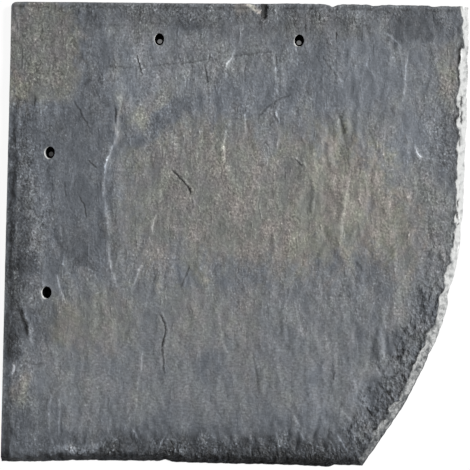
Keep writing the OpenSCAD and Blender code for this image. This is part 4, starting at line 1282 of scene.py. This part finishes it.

    # Lightness: patches, grain of several sizes, painted glints, and painted shade at rims, foot and pockets
    # The scars' rim: darker stone with painted shade
    rim_part = add(tree, "ShaderNodeMapRange", {"Value": grains["flake"], **RIM_DARK_AND_SHADE})
    rim_dark_and_shade = add(tree, "ShaderNodeMath", {0: kept["rim"], 1: rim_part}, operation="MULTIPLY")
    rim_dark_and_shade_gain = add(tree, "ShaderNodeMath", {0: 1.0, 1: rim_dark_and_shade}, operation="SUBTRACT")
    # Painted shade on the broken foot, whose stone is also darker
    broken_dark_and_shade_gain = add(tree, "ShaderNodeMapRange", {"Value": kept["broken"], "To Min": 1.0,
                                                   "To Max": BROKEN_DARK_AND_SHADE})
    patchy = add(tree, "ShaderNodeMath", {0: grains["cloud"], 1: CLOUD_COARSE, 2: 1.0},
                 operation="MULTIPLY_ADD")
    coarseness = add(tree, "ShaderNodeMath", {0: patchy, 1: kept["coarseness"]}, operation="MULTIPLY")
    # Painted glints on the mica's specks, brighter where the grain is coarse
    glint_specks = add(tree, "ShaderNodeMapRange", {"Value": grains["glint_specks"], **GLINT_SPECKS_RANGE})
    glint_specks_gain = add(tree, "ShaderNodeMath", {0: glint_specks, 1: coarseness, 2: 1.0}, operation="MULTIPLY_ADD")
    # Painted shade in the pockets
    pocket_shade_gain = add(tree, "ShaderNodeMapRange", {"Value": kept["pocket"], "To Min": 1.0,
                                                   "To Max": POCKET_SHADE_GAIN})
    # Leaves and pebbles: painted light and shade that follow their relief
    leafy = add(tree, "ShaderNodeMath", {0: kept["fluted"], 1: grains["leaf"]}, operation="MULTIPLY")
    leaf_painted_shading = add(tree, "ShaderNodeMath", {0: leafy, 1: LEAF_DEPTH, 2: 1.0}, operation="MULTIPLY_ADD")
    pebbly = add(tree, "ShaderNodeMath", {0: kept["rough"], 1: grains["pebble"]}, operation="MULTIPLY")
    pebble_painted_shading = add(tree, "ShaderNodeMath", {0: pebbly, 1: PEBBLE_DEPTH, 2: 1.0},
                      operation="MULTIPLY_ADD")
    mottle = add(tree, "ShaderNodeMath", {0: grains["cloud"], 1: CLOUD_DEPTH, 2: 1.0},
                 operation="MULTIPLY_ADD")
    gains = [rim_dark_and_shade_gain, broken_dark_and_shade_gain, glint_specks_gain, pocket_shade_gain, leaf_painted_shading, pebble_painted_shading, mottle]
    for kind, depth in COARSE_DEPTHS.items():
        coarse = add(tree, "ShaderNodeMath", {0: grains[kind], 1: coarseness}, operation="MULTIPLY")
        gains.append(add(tree, "ShaderNodeMath", {0: coarse, 1: depth, 2: 1.0}, operation="MULTIPLY_ADD"))
    dusty = add(tree, "ShaderNodeMapRange",
                {"Value": kept["coarseness"], "From Min": fine_start, "From Max": fine_end,
                 "To Min": DUST_DEPTH, "To Max": 0.0})
    gains.append(add(tree, "ShaderNodeMath", {0: grains["dust"], 1: dusty, 2: 1.0},
                     operation="MULTIPLY_ADD"))
    gain = kept["lightness"]
    for part in gains:
        gain = add(tree, "ShaderNodeMath", {0: gain, 1: part}, operation="MULTIPLY")
    shade = add(tree, "ShaderNodeVectorMath", {0: stone.outputs[2], "Scale": gain}, operation="SCALE")

    # The bruise is broken up by dark pits, more of them where it is weak
    pale_at = add(tree, "ShaderNodeMath", {0: kept["bruise"], 1: BRUISE_LIFT, 2: grains["chip"]},
                  operation="MULTIPLY_ADD")
    pale = add(tree, "ShaderNodeMapRange", {"Value": pale_at, **PALE})
    scar = add(tree, "ShaderNodeMix", {"Factor": pale, 6: linear(BRUISE_PIT), 7: linear(BRUISE_PALE)},
               data_type="RGBA")
    in_scar = add(tree, "ShaderNodeMapRange", {"Value": kept["bruise"], "From Max": BRUISE_FULL})
    bruised = add(tree, "ShaderNodeMix", {"Factor": in_scar, 6: shade, 7: scar.outputs[2]},
                  data_type="RGBA")
    lined = bruised.outputs[2]
    for part in line_gains:
        lined = add(tree, "ShaderNodeVectorMath", {0: lined, "Scale": part}, operation="SCALE")

    # Fine relief: thin steps between layers, strands, grain, leaves and pebbles
    level = add(tree, "ShaderNodeMath", {0: grains["cloud"], 1: LAYER_STEPS}, operation="MULTIPLY")
    tread = add(tree, "ShaderNodeMath", {0: level}, operation="FLOOR")
    part_way = add(tree, "ShaderNodeMath", {0: level}, operation="FRACT")
    riser = add(tree, "ShaderNodeMapRange", {"Value": part_way, "From Min": STEP_TREAD})
    steps = add(tree, "ShaderNodeMath", {0: tread, 1: riser}, operation="ADD")
    coarse_speck = add(tree, "ShaderNodeMath", {0: grains["speck"], 1: coarseness}, operation="MULTIPLY")
    relief_mm = add(tree, "ShaderNodeMath", {0: steps, 1: STEP_MM}, operation="MULTIPLY")
    for part, height in ((grains["strand"], STRAND_MM), (coarse_speck, SPECK_MM), (leafy, LEAF_MM),
                         (pebbly, PEBBLE_MM)):
        relief_mm = add(tree, "ShaderNodeMath", {0: part, 1: height, 2: relief_mm},
                        operation="MULTIPLY_ADD")
    bump = add(tree, "ShaderNodeBump", {"Height": relief_mm, "Strength": 1.0, "Distance": MM})

    # Pockets and the broken foot have no shine, and the rest is matt to satin
    broken_matt = add(tree, "ShaderNodeMath", {0: kept["broken"], 1: BROKEN_MATT}, operation="MULTIPLY")
    matt = add(tree, "ShaderNodeMath", {0: kept["pocket"], 1: broken_matt}, operation="MAXIMUM")
    gloss = add(tree, "ShaderNodeMapRange", {"Value": matt, "To Min": SHINE, "To Max": 0.0})
    rough = add(tree, "ShaderNodeMapRange", {"Value": grains["flake"], **ROUGHNESS})
    shader = add(tree, "ShaderNodeBsdfPrincipled", {"Base Color": lined, "Roughness": rough, "Normal": bump,
                                                    "IOR": STONE_IOR, "Specular IOR Level": gloss})
    add(tree, "ShaderNodeOutputMaterial", {"Surface": shader})
    return material


def make_shingle():
    """The finished shingle as one plain mesh."""
    mesh, points = make_plate()
    measure_plate(mesh, points)
    paint_plate(mesh, points)
    roughen_plate(mesh, points)
    plate = bpy.data.objects.new("plate", mesh)
    bpy.context.scene.collection.objects.link(plate)
    ledges = make_marks("ledges", LEDGES, ("fall", "reach", "line"))
    cracks = make_marks("cracks", CRACKS, ("depth", "half_width", "line"))
    tree = relief_tree()
    relief = plate.modifiers.new("relief", "NODES")
    relief.node_group = tree
    values = dict(RELIEF_SIZES, Seed=float(SEED), Ledges=ledges, Cracks=cracks, Material=make_slate())
    for item in tree.interface.items_tree:
        if item.in_out == "INPUT" and item.name in values:
            relief[item.identifier] = values[item.name]
    evaluated = plate.evaluated_get(bpy.context.evaluated_depsgraph_get())
    finished = bpy.data.meshes.new_from_object(evaluated)
    plate.modifiers.remove(relief)
    for spent in (plate, ledges, cracks):
        bpy.data.objects.remove(spent)
    finished.shade_smooth()
    finished.set_sharp_from_angle(angle=math.radians(SHARP_ANGLE))
    shingle = bpy.data.objects.new("shingle_slate", finished)
    bpy.context.scene.collection.objects.link(shingle)
    return shingle


shingle = make_shingle()
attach(shingle, "root")
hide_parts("shingle")


# Stage: white floor, light from the dressed side and the head, and the camera straight above

FLOOR_HALF = 3000.0
FLOOR_DROP = 0.2
FLOOR_GLOW = 0.92
FLOOR_WHITE = "#ffffff"
FLOOR_LIT = "#525252"
# Floor colour under the plate: painted shade for the nail holes
FLOOR_HOLE_SHADE = "#0c0c0c"
KEY_FROM = Vector((0.74, 0.27, 0.62))
KEY_STRENGTH = 3.9
KEY_ANGLE = 14.0
FILL_STRENGTH = 0.22
# The floor under this part of the plate, where the nail holes are, is dark: painted shade seen in the holes
HOLE_SHADE_MIDDLE = (-42.0, 42.0)
HOLE_SHADE_HALF = (96.0, 96.0)
# It glows faintly from this height on the plate up to the head: painted light seen through the holes
THROUGH_START = 20.0
THROUGH_PAINTED_GLOW = 0.20
FRAME_WIDTH = 305.2
LENS = 100.0
SENSOR = 36.0
PHOTO_TURN = 1.1
AIM = (-0.3, -0.4)


def make_floor():
    """A white floor that glows for the camera, and faintly through the nail holes, most near the head."""
    # Under the plate: painted shade for the nail holes, with a faint painted glow
    mesh = bpy.data.meshes.new("floor")
    half = FLOOR_HALF * MM
    corners = [(-half, -half, 0), (half, -half, 0), (half, half, 0), (-half, half, 0)]
    mesh.from_pydata(corners, [], [(0, 1, 2, 3)])
    floor = bpy.data.objects.new("floor", mesh)
    bpy.context.scene.collection.objects.link(floor)
    floor.location.z = -FLOOR_DROP * MM
    material = bpy.data.materials.new("white_floor")
    material.use_nodes = True
    tree = material.node_tree
    tree.nodes.clear()
    place = add(tree, "ShaderNodeTexCoord").outputs["Object"]
    middle = (HOLE_SHADE_MIDDLE[0] * MM, HOLE_SHADE_MIDDLE[1] * MM, 0)
    pace = (1 / (HOLE_SHADE_HALF[0] * MM), 1 / (HOLE_SHADE_HALF[1] * MM), 0)
    offset = add(tree, "ShaderNodeVectorMath", {0: place, 1: middle}, operation="SUBTRACT")
    apart = add(tree, "ShaderNodeVectorMath", {0: offset}, operation="ABSOLUTE")
    share = add(tree, "ShaderNodeVectorMath", {0: apart, 1: pace}, operation="MULTIPLY")
    parts = add(tree, "ShaderNodeSeparateXYZ", {0: share}).outputs
    widest = add(tree, "ShaderNodeMath", {0: parts["X"], 1: parts["Y"]}, operation="MAXIMUM")
    outside = add(tree, "ShaderNodeMath", {0: widest, 1: 1.0}, operation="GREATER_THAN")
    ray = add(tree, "ShaderNodeLightPath").outputs
    seen = ray["Is Camera Ray"]
    for kind in ("Is Glossy Ray", "Is Transmission Ray"):
        seen = add(tree, "ShaderNodeMath", {0: seen, 1: ray[kind]}, operation="MAXIMUM")
    up = add(tree, "ShaderNodeSeparateXYZ", {0: place}).outputs["Y"]
    through = add(tree, "ShaderNodeMapRange",
                  {"Value": up, "From Min": THROUGH_START * MM, "From Max": float(HIGH[1]) * MM,
                   "To Max": THROUGH_PAINTED_GLOW})
    level = add(tree, "ShaderNodeMix", {"Factor": outside, 2: through, 3: FLOOR_GLOW})
    strength = add(tree, "ShaderNodeMath", {0: seen, 1: level}, operation="MULTIPLY")
    colour = add(tree, "ShaderNodeMix", {"Factor": outside, 6: linear(FLOOR_HOLE_SHADE), 7: linear(FLOOR_LIT)},
                 data_type="RGBA")
    shader = add(tree, "ShaderNodeBsdfPrincipled",
                 {"Base Color": colour.outputs[2], "Roughness": 0.9, "Emission Color": linear(FLOOR_WHITE),
                  "Emission Strength": strength})
    add(tree, "ShaderNodeOutputMaterial", {"Surface": shader})
    mesh.materials.append(material)


def make_lights():
    """A soft key light and an even white surround."""
    lamp = bpy.data.lights.new("key", "SUN")
    lamp.energy = KEY_STRENGTH
    lamp.angle = math.radians(KEY_ANGLE)
    key = bpy.data.objects.new("key", lamp)
    key.rotation_euler = KEY_FROM.to_track_quat("Z", "Y").to_euler()
    bpy.context.scene.collection.objects.link(key)
    world = bpy.data.worlds.new("surround")
    world.use_nodes = True
    tree = world.node_tree
    tree.nodes.clear()
    ray = add(tree, "ShaderNodeLightPath").outputs
    strength = add(tree, "ShaderNodeMapRange",
                   {"Value": ray["Is Camera Ray"], "To Min": FILL_STRENGTH, "To Max": 1.0})
    surround = add(tree, "ShaderNodeBackground", {"Color": (1, 1, 1, 1), "Strength": strength})
    add(tree, "ShaderNodeOutputWorld", {"Surface": surround})
    bpy.context.scene.world = world


def make_camera():
    """A long lens straight above the face, turned so that the shingle shows as in the photograph."""
    lens = bpy.data.cameras.new("camera")
    lens.lens = LENS
    lens.sensor_width = SENSOR
    camera = bpy.data.objects.new("camera", lens)
    distance = FRAME_WIDTH * LENS / SENSOR
    camera.location = (AIM[0] * MM, AIM[1] * MM, (THICK + distance) * MM)
    camera.rotation_euler = (0, 0, math.radians(PHOTO_TURN))
    bpy.context.scene.collection.objects.link(camera)
    bpy.context.scene.camera = camera


make_floor()
make_lights()
make_camera()
bpy.context.scene.view_settings.view_transform = "Standard"
